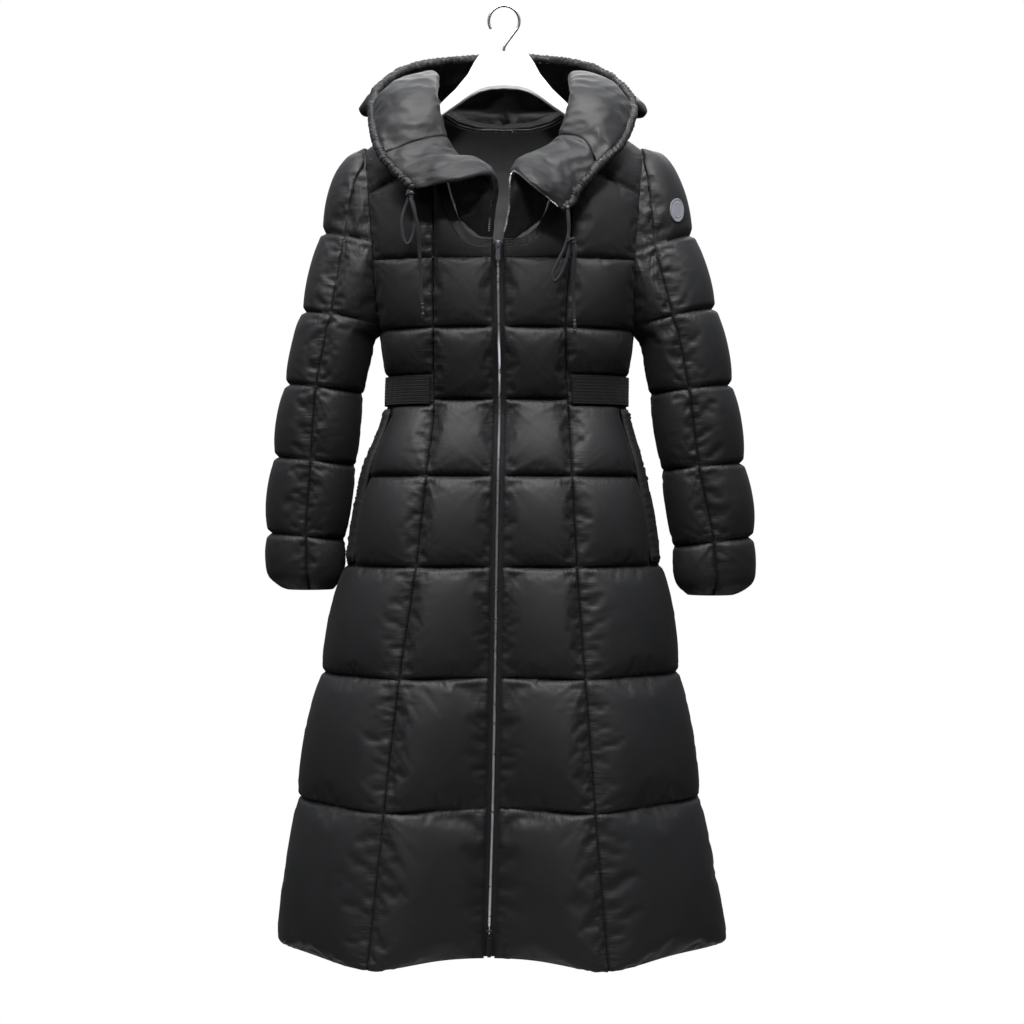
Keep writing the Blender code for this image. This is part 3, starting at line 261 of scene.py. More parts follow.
# %% Measurements of the body
WALL = 2.4 * MM
SECTION_POWER = 2.4  # 2 is an ellipse, more is squarer
ARMPIT_Z = -470 * MM
CHEST_Z = -372 * MM          # above this level the columns lean to the shoulder seam
TIP_X, TIP_Z = 198 * MM, -207 * MM
NECK_X, NECK_Z = 101 * MM, -139 * MM
FRONT_NECK_Z, BACK_NECK_Z = -346 * MM, -168 * MM
NECKLINE_POWER = 3.0         # how long the neckline stays low beside the centre
ARMHOLE_HALF_DEPTH = 58 * MM
ARMHOLE_POWER = 2.6
RIDGE_WIDTH = 78 * MM        # how wide the fold along a princess seam is
BACK_RIDGE = 0.6             # the back's folds, as a share of the front's
HEM_DROOP = 9 * MM           # the hem dips this much on the folds
ZIP_HALF = 7 * MM
Level = namedtuple("Level", "z right left zip princess_r princess_l front ridge back")
LEVELS = [Level(*(v * MM for v in row)) for row in (
    # z     right left  zip  pr_r  pr_l front ridge back
    (-372,  184,  184,   -8,   98,   92,   98,    0,   92),
    (-470,  177,  185,   -7,   98,   86,  102,    0,   94),
    (-533,  167,  176,   -6,   98,   87,   92,    1,   84),
    (-577,  168,  176,   -6,   98,   90,   88,    2,   80),
    (-677,  202,  201,   -8,  107,   95,  112,    8,  104),
    (-803,  225,  223,  -10,  121,  101,  122,   15,  122),
    (-955,  257,  247,  -12,  143,  112,  130,   27,  138),
    (-1133, 291,  277,  -15,  163,  125,  138,   43,  152),
    (-1338, 318,  314,  -20,  184,  142,  146,   58,  165),
)]
HEM_Z = LEVELS[-1].z

print("coat length:", round((TIP_Z - HEM_Z) * 1000), "mm from the shoulder tip")

# %% Points of the body
@lru_cache(maxsize=None)
def level_at(z):
    return hermite(LEVELS, "z", z)


@lru_cache(maxsize=None)
def armhole_depth(z):
    """Half the front-to-back size of the armhole at a height, 0 at its ends."""
    share = (z - ARMPIT_Z) / (TIP_Z - ARMPIT_Z)
    if share <= 0 or share >= 1:
        return 0.0
    return ARMHOLE_HALF_DEPTH * (1 - abs(2 * share - 1) ** ARMHOLE_POWER) ** (1 / ARMHOLE_POWER)


def side_x(side, z):
    """How far out the side seam or the armhole's edge lies at a height."""
    row = level_at(z)
    out = row.left if side == LEFT else row.right
    if z > CHEST_Z:
        out += (TIP_X - out) * (z - CHEST_Z) / (TIP_Z - CHEST_Z)
    return out


def body_point(side, face, a, z):
    """Middle surface of the body: a is 0 at the centre, 1 at the princess seam, 2 at the side.

    Up to the chest a level is a flat section. Above it z only counts how far a column has
    gone to its own top, on the neckline or on the shoulder seam.
    """
    level = level_at(min(z, CHEST_Z))
    power = 2 / SECTION_POWER
    out = level.left if side == LEFT else level.right
    princess = side * (level.princess_l if side == LEFT else level.princess_r)
    depth = level.front if face == FRONT else level.back
    centre = level.zip if face == FRONT else (level.left - level.right) / 2
    edge_y = armhole_depth(level.z)
    end = math.acos((edge_y / depth) ** (1 / power))
    reach = (side * out - centre) / math.sin(end) ** power
    split = math.asin(((princess - centre) / reach) ** (1 / power))
    first = math.asin((ZIP_HALF / abs(reach)) ** (1 / power)) if face == FRONT else 0.0
    angle = first + a * (split - first) if a <= 1 else split + (a - 1) * (end - split)
    x = centre + reach * math.sin(angle) ** power if angle > 0 else centre
    y = depth * max(math.cos(angle), 0.0) ** power
    fold = 0.0
    if angle < math.pi / 2:
        fold = math.exp(-((x - princess) / RIDGE_WIDTH) ** 2) * math.cos(angle) ** 0.5
    y += level.ridge * fold * (1 if face == FRONT else BACK_RIDGE)
    height = level.z - HEM_DROOP * fold * (level.ridge / LEVELS[-1].ridge) ** 2
    if z <= CHEST_Z:
        return Vector((x, face * y, height))
    q = (z - CHEST_Z) / (TIP_Z - CHEST_Z)
    if a < 1:
        low = FRONT_NECK_Z if face == FRONT else BACK_NECK_Z
        neck_line = low + (NECK_Z - low) * a**NECKLINE_POWER
        q *= (neck_line - CHEST_Z) / (NECK_Z - CHEST_Z)
    if a <= 1:
        top_x = centre + (x - centre) * (side * NECK_X - centre) / (princess - centre)
        top_z = NECK_Z
    else:
        top_x = side * (NECK_X + (a - 1) * (TIP_X - NECK_X))
        top_z = NECK_Z + (a - 1) * (TIP_Z - NECK_Z)
    x += (top_x - x) * q
    roll_z = CHEST_Z + q * (TIP_Z - CHEST_Z)
    y *= armhole_depth(roll_z) / armhole_depth(CHEST_Z)
    return Vector((x, face * y, CHEST_Z + q * (top_z - CHEST_Z)))


# %% [markdown]
# ## The surface of a sleeve
# Each sleeve is two panels, a front one and one that goes round the outside and the back,
# with a lengthwise seam between them. Its sections are ellipses that are cut off by the
# armhole at the top and closed below the armpit.

# %% Measurements of the sleeves
Arm = namedtuple("Arm", "inner outer_x inner_x rise depth seam")
ARMS = {
    RIGHT: [  # inner height, outer x, inner x, rise to the outer edge, half-depth, seam
        Arm(-207, 201, 198, 0, 58, 0.97),
        Arm(-226, 222, 197, 2, 58, 0.95),
        Arm(-262, 238, 193, 8, 58, 0.62),
        Arm(-345, 257, 186, 18, 58, 0.44),
        Arm(-470, 288, 177, 19, 62, 0.38),
        Arm(-477, 290, 184, 19, 62, 0.38),
        Arm(-500, 295, 190, 17, 61, 0.39),
        Arm(-557, 309, 205, 13, 60, 0.42),
        Arm(-660, 325, 216, 12, 57, 0.48),
        Arm(-766, 335, 231, 9, 52, 0.53),
        Arm(-816, 332, 236, 4, 49, 0.55),
        Arm(-838, 312, 246, 0, 38, 0.55),
    ],
    LEFT: [
        Arm(-207, 201, 198, 0, 58, 0.97),
        Arm(-226, 226, 197, 6, 58, 0.95),
        Arm(-262, 243, 193, 12, 58, 0.80),
        Arm(-360, 268, 184, 30, 58, 0.66),
        Arm(-470, 302, 185, 26, 62, 0.54),
        Arm(-477, 304, 192, 24, 62, 0.54),
        Arm(-500, 310, 199, 20, 61, 0.55),
        Arm(-558, 323, 212, 13, 60, 0.56),
        Arm(-667, 340, 229, 10, 57, 0.58),
        Arm(-776, 353, 245, 13, 52, 0.52),
        Arm(-824, 352, 251, 4, 49, 0.50),
        Arm(-846, 330, 264, 0, 38, 0.50),
    ],
}
ARM_TABLES = {side: [Arm(*(v * MM for v in row[:5]), row.seam) for row in rows]
              for side, rows in ARMS.items()}
SLEEVE_SEAMS = {
    RIGHT: (-207, -345, -459, -557, -660, -766, -838),
    LEFT: (-207, -360, -462, -558, -667, -776, -846),
}
print("sleeve length:", SLEEVE_SEAMS[LEFT][0] - SLEEVE_SEAMS[LEFT][-1], "mm")

# %% Points of a sleeve
@lru_cache(maxsize=None)
def arm_row(side, inner_z):
    """Section of a sleeve at the height of its inner edge, as centre, halves and angles."""
    row = hermite(ARM_TABLES[side], "inner", inner_z)
    edge = armhole_depth(inner_z)
    middle = (ARMPIT_Z + TIP_Z) / 2
    inner_x = side_x(side, inner_z) if inner_z >= ARMPIT_Z else row.inner_x
    if inner_z >= middle:
        depth, cut = max(edge, 1e-4), math.pi / 2
    elif inner_z > ARMPIT_Z:
        depth = row.depth
        cut = math.pi - math.asin(min(1.0, edge / depth))
    else:
        depth, cut = row.depth, math.pi
    half = (row.outer_x - inner_x) / (1 - math.cos(cut))
    centre = row.outer_x - half
    seam_x = row.outer_x + row.seam * (inner_x - row.outer_x)
    seam = math.acos(min(1.0, max(-1.0, (seam_x - centre) / half)))
    return row, centre, half, depth, cut, seam


def arm_point(side, inner_z, angle):
    """Middle surface of a sleeve: angle 0 is its outer edge, and it is positive in front."""
    row, centre, half, depth, cut, _ = arm_row(side, inner_z)
    x = centre + half * math.cos(angle)
    spread = (math.cos(angle) - math.cos(cut)) / (1 - math.cos(cut))
    return Vector((side * x, -depth * math.sin(angle), inner_z + row.rise * spread))


# %% [markdown]
# ## The surface of the collar and hood
# Collar and hood are one turned-out band: it stands up from the neckline, rolls over and
# lies on the shoulders, down to the gathered edge that frames the face when it is worn. It is
# read across from seam to edge at eleven stations from the zip to the centre back.

# %% Measurements of the hood
LAP, SHOULDER_LAP = 2.8 * MM, 5.6 * MM
NECKLINE = (0.00, 0.30, 0.60, 0.82, 0.94, 1.00, 1.10, 1.25, 1.50, 1.76, 2.00)  # 1 is the shoulder
BAND = {  # stand, crest, turn and rim at each station: x outward, y, z in millimetres
    RIGHT: (
        ((12, -128, -304), (16, -158, -268), (62, -174, -278), (122, -155, -286)),  # zip edge
        ((18, -122, -294), (30, -130, -250), (76, -148, -252), (138, -145, -269)),  # front
        ((48, -114, -284), (58, -114, -243), (101, -128, -240), (152, -134, -254)),  # front side
        ((81, -102, -224), (84, -106, -206), (121, -116, -214), (169, -118, -232)),  # side front
        ((99, -81, -161), (102, -87, -147), (142, -96, -160), (180, -96, -200)),  # shoulder front
        ((103, -16, -121), (103, -28, -106), (154, -48, -124), (187, -54, -157)),  # side
        ((102, 10, -126), (108, 2, -112), (148, -26, -136), (185, -33, -139)),  # shoulder back
        ((104, 40, -126), (120, 50, -118), (200, 30, -146), (180, -10, -119)),  # side back
        ((86, 84, -136), (114, 128, -140), (156, 130, -118), (150, 38, -85)),  # back side
        ((46, 96, -150), (62, 152, -164), (86, 178, -110), (95, 78, -62)),  # back
        ((0, 98, -156), (0, 160, -172), (0, 190, -110), (0, 102, -50)),  # centre back
    ),
    LEFT: (
        ((8, -130, -308), (12, -150, -262), (40, -174, -284), (80, -158, -315)),
        ((26, -122, -294), (26, -128, -244), (60, -152, -268), (93, -150, -301)),
        ((46, -114, -276), (45, -112, -232), (80, -132, -246), (103, -142, -283)),
        ((78, -102, -222), (80, -106, -204), (112, -116, -212), (130, -128, -250)),
        ((98, -81, -161), (101, -87, -147), (136, -96, -162), (164, -101, -213)),
        ((103, -16, -121), (102, -28, -106), (150, -50, -124), (182, -62, -167)),
        ((102, 10, -126), (108, 2, -112), (144, -28, -138), (182, -37, -149)),
        ((104, 40, -126), (118, 50, -118), (198, 26, -148), (180, -12, -130)),
        ((86, 84, -136), (114, 128, -140), (158, 124, -118), (152, 26, -94)),
        ((46, 96, -150), (62, 152, -164), (90, 176, -110), (98, 68, -65)),
        ((0, 98, -156), (0, 160, -172), (0, 190, -110), (0, 102, -50)),
    ),
}
COLLAR_END, LAST = 3.0, 10
HOOD_SEAMS = (3.0, 6.0, 8.2, 10.0)
RIM_RADIUS = 6.4 * MM
FRONT_COLUMNS = (0.0, 0.15, 0.5, 0.82, 0.94, 0.985, 1.0)
BACK_COLUMNS = (0.0, 0.3, 0.6, 0.85, 1.0)
NECK_SHARES = FRONT_COLUMNS + tuple(2 - a for a in BACK_COLUMNS[-2::-1])
print("stations round each half of the hood:", len(NECKLINE))

# %% Points of the hood
@lru_cache(maxsize=None)
def neckline_vertex(side, share):
    """Point on the body's neckline and the direction out of the cloth there."""
    face, a = (FRONT, share) if share <= 1 else (BACK, 2 - share)
    if a > 0.999:
        slope = math.atan2(NECK_Z - TIP_Z, TIP_X - NECK_X)
        away = Vector((side * math.sin(slope), 0, math.cos(slope)))
        return Vector((side * NECK_X, 0, NECK_Z)), away
    here = body_point(side, face, a, TIP_Z)
    below = body_point(side, face, a, TIP_Z - 8 * MM)
    before, after = (body_point(side, face, min(max(a + d, 0.0), 1.0), TIP_Z)
                     for d in (-0.01, 0.01))
    away = unit((here - below).cross(before - after))
    if away.z < -0.3 or (abs(away.z) <= 0.3 and away.y * face < 0):
        away = -away
    return here, away


def hood_foot(side, s):
    """Where collar or hood starts: outside the straight runs between the body's columns."""
    share = catmull(NECKLINE, s)
    share = min(max(share, 0.0), 2.0)
    k = max(n for n in range(len(NECK_SHARES) - 1) if NECK_SHARES[n] <= share)
    first, last = NECK_SHARES[k], NECK_SHARES[k + 1]
    f = (share - first) / (last - first)
    ends = [neckline_vertex(side, v) for v in (first, last)]
    lap = LAP + SHOULDER_LAP * math.exp(-((share - 0.97) / 0.09) ** 2)
    return ends[0][0].lerp(ends[1][0], f) + unit(ends[0][1].lerp(ends[1][1], f)) * lap


@lru_cache(maxsize=None)
def hood_column(side, s):
    """Points across the band at a station, from the neckline to the rim."""
    across = [hood_foot(side, s)]
    for places in zip(*BAND[side]):
        across.append(catmull([Vector((side * x, y, z)) * MM for x, y, z in places], s))
    return tuple(across)


def hood_point(side, s, t):
    """Middle surface of the band: s counts stations, t is 0 at the seam and 1 at the rim."""
    return catmull(hood_column(side, s), 4 * t)


def hood_normal(side, s, t):
    step = 0.02
    s0, s1 = max(s - step, 0), min(s + step, LAST)
    t0, t1 = max(t - step, 0), min(t + step, 1)
    along = hood_point(side, s1, t) - hood_point(side, s0, t)
    across = hood_point(side, s, t1) - hood_point(side, s, t0)
    return unit(across.cross(along)) * side

# %% [markdown]
# ## Cloth between two seams
# A quilted block isn't a smooth cushion. Its cloth is cut a little larger than the space
# between its stitches, so it swells and wrinkles when the down pushes it out. Each panel
# starts as a row of low domes with every stitched line held fast. Blender's cloth simulation
# then grows the cloth a little and blows it up, and it makes its own broad folds. The short
# gathers at the stitches are finer than the simulated net, so they are added to a net of
# half its spacing.

# %% Rows that keep every stitched line
CLOTH_STEP = 5.9 * MM


def stitched_rows(lines, spacing=CLOTH_STEP):
    """Values from the first line to the last, with each line on a row of its own."""
    values, stitched = [], []
    for first, last in zip(lines, lines[1:]):
        count = max(2, round(abs(last - first) / spacing))
        for k in range(count):
            values.append(first + (last - first) * k / count)
            stitched.append(k == 0)
    return values + [lines[-1]], stitched + [True]


def dome(share):
    """Height of a stuffed block across its width: round in the middle and steep at its seams."""
    share = min(max(share, 0.0), 1.0)
    return (4 * share * (1 - share)) ** 0.52


# %% A panel of cloth
Panel = namedtuple("Panel", "thing order plain stitched gathers flip")
panels = []
shell_pieces = []


def order_of(bm, crossings, rows, cols):
    """Index of the vertex at each crossing."""
    bm.verts.index_update()
    order = np.zeros((rows, cols), int)
    for key, v in crossings.items():
        order[key] = v.index
    return order


def cloth_panel(name, rows, cols, middle, height, stitched, held, flip, gathers):
    """A net on middle(i, j), raised by height(i, j) along its normals, pinned where held."""
    bm, crossings = cloth_grid(rows, cols, middle)
    plain = np.array([[crossings[i, j].co[:] for j in range(cols)] for i in range(rows)])
    if flip:
        bmesh.ops.reverse_faces(bm, faces=bm.faces)
    bm.normal_update()
    raised = {key: v.normal * height(*key) for key, v in crossings.items()}
    pins = bm.verts.layers.deform.verify()
    for (i, j), v in crossings.items():
        v.co += raised[i, j]
        v[pins][0] = 1.0 if held(i, j) else 0.0
    order = order_of(bm, crossings, rows, cols)
    made = finish_piece(name, bm)
    made.vertex_groups.new(name="stitched")
    panels.append(Panel(made, order, plain, stitched, gathers, flip))
    shell_pieces.append(made)


# %% [markdown]
# ## The panels of the body
# Front centre, front side, back side and back centre. The blocks follow the quilting lines,
# which lie at other heights on the front centre than on the sides. The waist elastic presses
# the sides flat between two lines.

# %% Quilting of the body
CENTRE_SEAMS = [z * MM for z in (-207, -372, -469, -569, -677, -803, -955, -1133, -1338)]
SIDE_SEAMS = [z * MM for z in (-207, -278, -372, -469, -533, -577, -677, -803, -955, -1133, -1338)]
WAIST_TOP, WAIST_BOTTOM = -533 * MM, -577 * MM
POCKET_TOP, POCKET_BOTTOM = -577 * MM, -803 * MM
PUFF_BODY, PUFF_SLEEVE, PUFF_HOOD = 15 * MM, 10 * MM, 6.5 * MM
WELT_FROM = 1.62
Gathers = namedtuple("Gathers", "rows first last reach corners top")


def armpit_ease(z):
    """Padding is pressed thin where sleeve and side meet."""
    return min(1.0, abs(z - ARMPIT_Z) / (80 * MM)) ** 1.5


def body_relief(face, a, z, lines):
    """How far a block stands out at a point of the body."""
    share, height = block_share(lines, z)
    if lines is SIDE_SEAMS and WAIST_BOTTOM <= z <= WAIST_TOP:
        return 0.0
    in_panel = a if a <= 1 else a - 1
    if face == FRONT and a > 1 and POCKET_BOTTOM <= z <= POCKET_TOP:
        in_panel = (a - 1) / (WELT_FROM - 1)
    if face == BACK and a <= 1:
        in_panel = 0.5 + a / 2
    size = PUFF_BODY * min(1.0, 0.62 + height / 0.45)
    if z > CHEST_Z:
        size *= 0.6
        if face == FRONT and a < 1:
            neck_line = FRONT_NECK_Z + (NECK_Z - FRONT_NECK_Z) * a**NECKLINE_POWER
            size *= min(1.0, (neck_line - CHEST_Z) / 0.16)
    if z > SIDE_SEAMS[1]:
        size *= min(1.0, 1.4 * share)
    if a > 1.45:
        size *= 1 - (1 - armpit_ease(z)) * min(1.0, (a - 1.45) / 0.45)
    if height > 0.19:
        size *= 0.9
    return size * dome(in_panel) * dome(share)


# %% Make the body panels
def body_panel(name, side, face, first, last, lines, cols, gathers):
    """One panel between two columns of the body."""
    heights, stitched = stitched_rows(lines)
    columns = [first + (last - first) * j / (cols - 1) for j in range(cols)]

    def held(i, j):
        flat = lines is SIDE_SEAMS and WAIST_BOTTOM <= heights[i] <= WAIST_TOP
        faced = face == FRONT and first == 0 and heights[i] > CHEST_Z
        return stitched[i] or j in (0, cols - 1) or flat or faced

    cloth_panel(
        name, len(heights), cols,
        lambda i, j: body_point(side, face, columns[j], heights[i]),
        lambda i, j: body_relief(face, columns[j], heights[i], lines),
        stitched, held, side * face > 0, gathers)


BODY_PANELS = (  # name, face, columns from and to, quilting lines, net columns, gathers
    ("front_centre_", FRONT, 0.0, 1.0, CENTRE_SEAMS, 32, Gathers(0.8, 1.0, 2.3, 20, 0.9, 0.15)),
    ("front_side_", FRONT, 1.0, 2.0, SIDE_SEAMS, 36, Gathers(0.8, 2.3, 1.0, 20, 0.9, 0.6)),
    ("back_side_", BACK, 1.0, 2.0, SIDE_SEAMS, 36, Gathers(0.8, 2.3, 1.0, 20, 0.9, 0.6)),
    ("back_centre_", BACK, 0.0, 1.0, SIDE_SEAMS, 32, Gathers(0.7, 0.3, 1.7, 18, 0.9, 0.6)),
)
for side, mark in SIDES:
    for name, *cut in BODY_PANELS:
        body_panel("shell_" + name + mark, side, *cut)
print("body panels:", len(panels), "with", panels[0].order.shape, "crossings in the first")

# %% [markdown]
# ## The sleeves
# The front panel runs from the armhole and the underarm seam to the lengthwise seam, the
# outer one from there round to the underarm seam. The rows are closer together at the head
# of the sleeve, where it turns over into the shoulder. The lengthwise seam is gathered more
# than any other.

# %% Make the sleeves
def sleeve_heights(side):
    """Heights of the rows of a sleeve, dense at its head."""
    lines = [v * MM for v in SLEEVE_SEAMS[side]]
    values, stitched = stitched_rows(lines)
    count = stitched[1:].index(True) + 1
    for k in range(count):
        values[k] = lines[0] + (lines[1] - lines[0]) * (k / count) ** 1.7 - 0.2 * MM
    return lines, values, stitched


def sleeve_panel(name, side, outer, cols, gathers):
    """One panel of a sleeve."""
    lines, heights, stitched = sleeve_heights(side)

    def angle_at(i, share):
        _, _, _, _, cut, seam = arm_row(side, heights[i])
        return seam + share * (-cut - seam) if outer else cut + share * (seam - cut)

    def relief(i, j):
        share = j / (cols - 1)
        down, _ = block_share(lines, heights[i])
        inward = (share - 0.5) / 0.4 if outer else (0.85 - share) / 0.5
        size = PUFF_SLEEVE * (1 - (1 - armpit_ease(heights[i])) * min(max(inward, 0.0), 1.0))
        if not outer:
            ends = [arm_point(side, heights[i], angle_at(i, end)) for end in (0.0, 1.0)]
            size *= min(1.0, (ends[1] - ends[0]).length / (60 * MM)) ** 1.5
        return size * dome(share) * dome(down)

    cloth_panel(
        name, len(heights), cols,
        lambda i, j: arm_point(side, heights[i], angle_at(i, j / (cols - 1))),
        relief, stitched,
        lambda i, j: stitched[i] or j in (0, cols - 1),
        side < 0, gathers)


for side, mark in SIDES:
    sleeve_panel("shell_sleeve_front_" + mark, side, False, 24,
                 Gathers(0.6, 0.4, 2.8, 24, 1.0, 1.0))
    sleeve_panel("shell_sleeve_outer_" + mark, side, True, 44,
                 Gathers(0.6, 2.8, 0.4, 24, 1.0, 1.0))
print("panels with the sleeves:", len(panels))

# %% [markdown]
# ## Collar and hood
# This band shows both its faces, so its blocks stand out to both sides. It starts as one
# sheet with a weight at each crossing; Solidify then gives it its thickness by that weight.

# %% Make the collar and hood
BAND_ROWS = 37
BAND_END = 0.985          # the quilting ends inside the casing
CENTRE_LAP = 2.5 * MM     # both halves of the hood go this far past the centre


def band_piece(name, side, first, last, lines, cols):
    """A quilted piece of the turned-out band between two stations."""
    shares = [i / (BAND_ROWS - 1) for i in range(BAND_ROWS)]
    stations = [first + (last - first) * j / (cols - 1) for j in range(cols)]

    def place(i, j):
        here = hood_point(side, stations[j], shares[i] * BAND_END)
        if stations[j] == LAST:
            here.x = -side * CENTRE_LAP
        return here

    bm, crossings = cloth_grid(BAND_ROWS, cols, place)
    if side < 0:
        bmesh.ops.reverse_faces(bm, faces=bm.faces)
    weights = bm.verts.layers.deform.verify()
    for (i, j), v in crossings.items():
        across, _ = block_share(lines, stations[j])
        fill = puff(across) * puff(shares[i]) * min(1.0, shares[i] / 0.4)
        v[weights][0] = fill
        v[weights][1] = 1.0 if fill == 0.0 or i in (0, BAND_ROWS - 1) else 0.0
    made = finish_piece(name, bm)
    made.vertex_groups.new(name="fill")
    made.vertex_groups.new(name="stitched")
    thicken = made.modifiers.new("padding", "SOLIDIFY")
    thicken.thickness = WALL + 2 * PUFF_HOOD
    thicken.offset = 0
    thicken.vertex_group = "fill"
    thicken.thickness_vertex_group = WALL / thicken.thickness
    shell_pieces.append(made)


for side, mark in SIDES:
    band_piece("shell_collar_" + mark, side, 0.0, COLLAR_END, (0.0, COLLAR_END), 42)
    band_piece("shell_hood_" + mark, side, COLLAR_END, float(LAST), HOOD_SEAMS, 96)
print("hood and collar pieces made")

# %% [markdown]
# ## The gathered edge of the hood
# A casing holds the drawcord, and the cord gathers it into close crinkles. It is a tube
# whose radius swells and shrinks every few millimetres, never quite evenly.

# %% Make the casing
RIM_RINGS, RIM_AROUND = 420, 18
CRINKLE = 7.6             # millimetres from one crinkle to the next, on average
RIM_END = 6 * MM          # the casing narrows over this length at its ends


def casing(name, side):
    """The gathered tube along the rim of one half of the hood."""
    stations = [LAST * k / (RIM_RINGS - 1) for k in range(RIM_RINGS)]
    centres = [hood_point(side, s, 1.0) for s in stations]
    run = lengths_along(centres)
    frames = []
    for k, s in enumerate(stations):
        along, across = direction(centres, k), hood_normal(side, s, 1.0)
        across = unit(across - along * across.dot(along))
        frames.append((across, along.cross(across)))

    def radius_at(j, angle):
        d = run[j] / MM
        twist = noise.noise(Vector((d / 16, 3.0 * side, 0))) * 1.6
        phase = d * math.pi / CRINKLE + 0.9 * math.sin(angle + twist) + 2.6 * twist
        ripple = 1 - 2 * abs(math.sin(phase)) ** 0.7
        lumps = noise.noise(Vector((d / 16, math.cos(angle) * 0.9, math.sin(angle) * 0.9 + side)))
        radius = RIM_RADIUS * (0.9 - 0.17 * ripple + 0.26 * lumps)
        return radius * min(1.0, 0.7 + 0.3 * min(run[j], run[-1] - run[j] + RIM_END) / RIM_END)

    shell_pieces.append(rolled(name, centres, frames, RIM_AROUND, radius_at))
    print(name, round(run[-1] * 1000), "mm")


for side, mark in SIDES:
    casing("shell_rim_" + mark, side)

# %% [markdown]
# ## Let the cloth settle
# All panels are simulated together for a few frames, without gravity. The stitched
# crossings are pinned. The result is kept close to the pattern, so that every panel stays
# beside its neighbours.

# %% Simulate the shell
FRAMES, PRESSURE, GROWTH, CAP = 14, 4.0, 0.014, 8 * MM


def points_of(mesh):
    """Vertex positions as an array."""
    found = np.zeros(len(mesh.vertices) * 3)
    mesh.vertices.foreach_get("co", found)
    return found.reshape(-1, 3)


def settle(pieces):
    """Inflate the pieces, keep no point further than CAP from its start, and keep the result."""
    scene = bpy.context.scene
    starts = {piece.name: points_of(piece.data) for piece in pieces}
    for piece in pieces:
        cloth = piece.modifiers.new("cloth", "CLOTH")
        settings = cloth.settings
        settings.quality = 4
        settings.mass = 0.3
        settings.tension_stiffness = settings.compression_stiffness = 12
        settings.shear_stiffness = 4
        settings.bending_stiffness = 1.5
        settings.vertex_group_mass = "stitched"
        settings.use_pressure = True
        settings.uniform_pressure_force = PRESSURE
        settings.use_pressure_volume = True
        settings.target_volume = 0
        settings.shrink_min = -GROWTH
        settings.effector_weights.gravity = 0
        cloth.point_cache.frame_start = 1
        cloth.point_cache.frame_end = FRAMES
    for number in range(1, FRAMES + 1):
        scene.frame_set(number)
    graph = bpy.context.evaluated_depsgraph_get()
    moved = []
    for piece in pieces:
        result = bpy.data.meshes.new_from_object(piece.evaluated_get(graph))
        shift = points_of(result) - starts[piece.name]
        size = np.maximum(np.linalg.norm(shift, axis=1), 1e-9)
        end = starts[piece.name] + shift * (CAP * np.tanh(size / CAP) / size)[:, None]
        result.vertices.foreach_set("co", end.ravel())
        result.update()
        piece.modifiers.clear()
        piece.data = result
        result.shade_smooth()
        moved.append(float(size.max()))
    scene.frame_set(1)
    return moved


def applied(thing):
    """The mesh of a thing with its modifiers, which it loses."""
    graph = bpy.context.evaluated_depsgraph_get()
    mesh = bpy.data.meshes.new_from_object(thing.evaluated_get(graph))
    thing.modifiers.clear()
    return mesh


for thing in shell_pieces:
    if thing.modifiers:
        thing.data = applied(thing)
padded_pieces = [thing for thing in shell_pieces if "rim" not in thing.name]
print("cloth moved at most", round(max(settle(padded_pieces)) * 1000, 1), "mm")

# %% [markdown]
# ## Gathers at the stitches
# Where thread pulls a seam short, the cloth beside it stands up in close little ridges that
# fade after a couple of centimetres. Each ridge starts at the seam and leans a little, so
# the pattern below is a noise along the seam, drawn out away from it.

# %% Gather the cloth
STITCH_DEPTH = 1.2 * MM


def finer(net):
    """A net with a crossing added between each two, on the smooth curve through them."""
    for axis in (0, 1):
        net = np.moveaxis(net, axis, 0)
        padded = np.concatenate([2 * net[:1] - net[1:2], net, 2 * net[-1:] - net[-2:-1]])
        between = (9 * (net[:-1] + net[1:]) - padded[:-3] - padded[3:]) / 16
        count = len(net)
        full = np.empty((2 * count - 1, *net.shape[1:]))
        full[0::2], full[1::2] = net, between
        net = np.moveaxis(full, 0, axis)
    return net


def runs(net, axis):
    """Length along each line of the net, in millimetres."""
    steps = np.linalg.norm(np.diff(net, axis=axis), axis=2) / MM
    start = np.zeros_like(np.take(steps, [0], axis=axis))
    return np.concatenate([start, np.cumsum(steps, axis=axis)], axis=axis)


def ripples(x, y, seed):
    """Smooth random values from -0.8 to 0.8 over two arrays, always the same for a seed."""
    whole_x, whole_y = np.floor(x), np.floor(y)
    ease_x, ease_y = (f**3 * (f * (f * 6 - 15) + 10) for f in (x - whole_x, y - whole_y))

    def corner(right, down):
        mixed = (whole_x + right) * 127.1 + (whole_y + down) * 311.7 + seed * 74.7
        scrambled = np.sin(mixed) * 43758.5
        return 1.6 * (scrambled - np.floor(scrambled)) - 0.8

    top = corner(0, 0) * (1 - ease_x) + corner(1, 0) * ease_x
    low = corner(0, 1) * (1 - ease_x) + corner(1, 1) * ease_x
    return top * (1 - ease_y) + low * ease_y


def ridge(along, away, reach, seed):
    """Height of the gathers beside a seam, fading with the distance away from it."""
    lean = 0.7 * ripples(along / 45, 0 * away, seed + 1)
    local = reach * (0.8 + 0.55 * ripples(along / 26, 0 * away, seed + 2))
    value = ripples((along + lean * away) / 6.5, away / 42, seed)
    broad = ripples((along + lean * away) / 15, away / 60, seed + 5)
    return (np.abs(value) ** 0.8 * 1.1 - 0.35 + 0.55 * broad) * np.exp(-((away / local) ** 1.3))


def fan(along, away, seed):
    """Height of the soft folds that spread from the corner of a block."""
    far = np.hypot(along, away)
    value = ripples(np.arctan2(away, along) * 6.5, far / 160, seed)
    return (np.abs(value) * 1.8 - 0.5) * np.minimum(far / 16, 1.0) * np.exp(-((far / 48) ** 1.6))


def line_rows(stitched):
    """Rows of the finer net that are stitched."""
    return [2 * i for i, is_line in enumerate(stitched) if is_line]


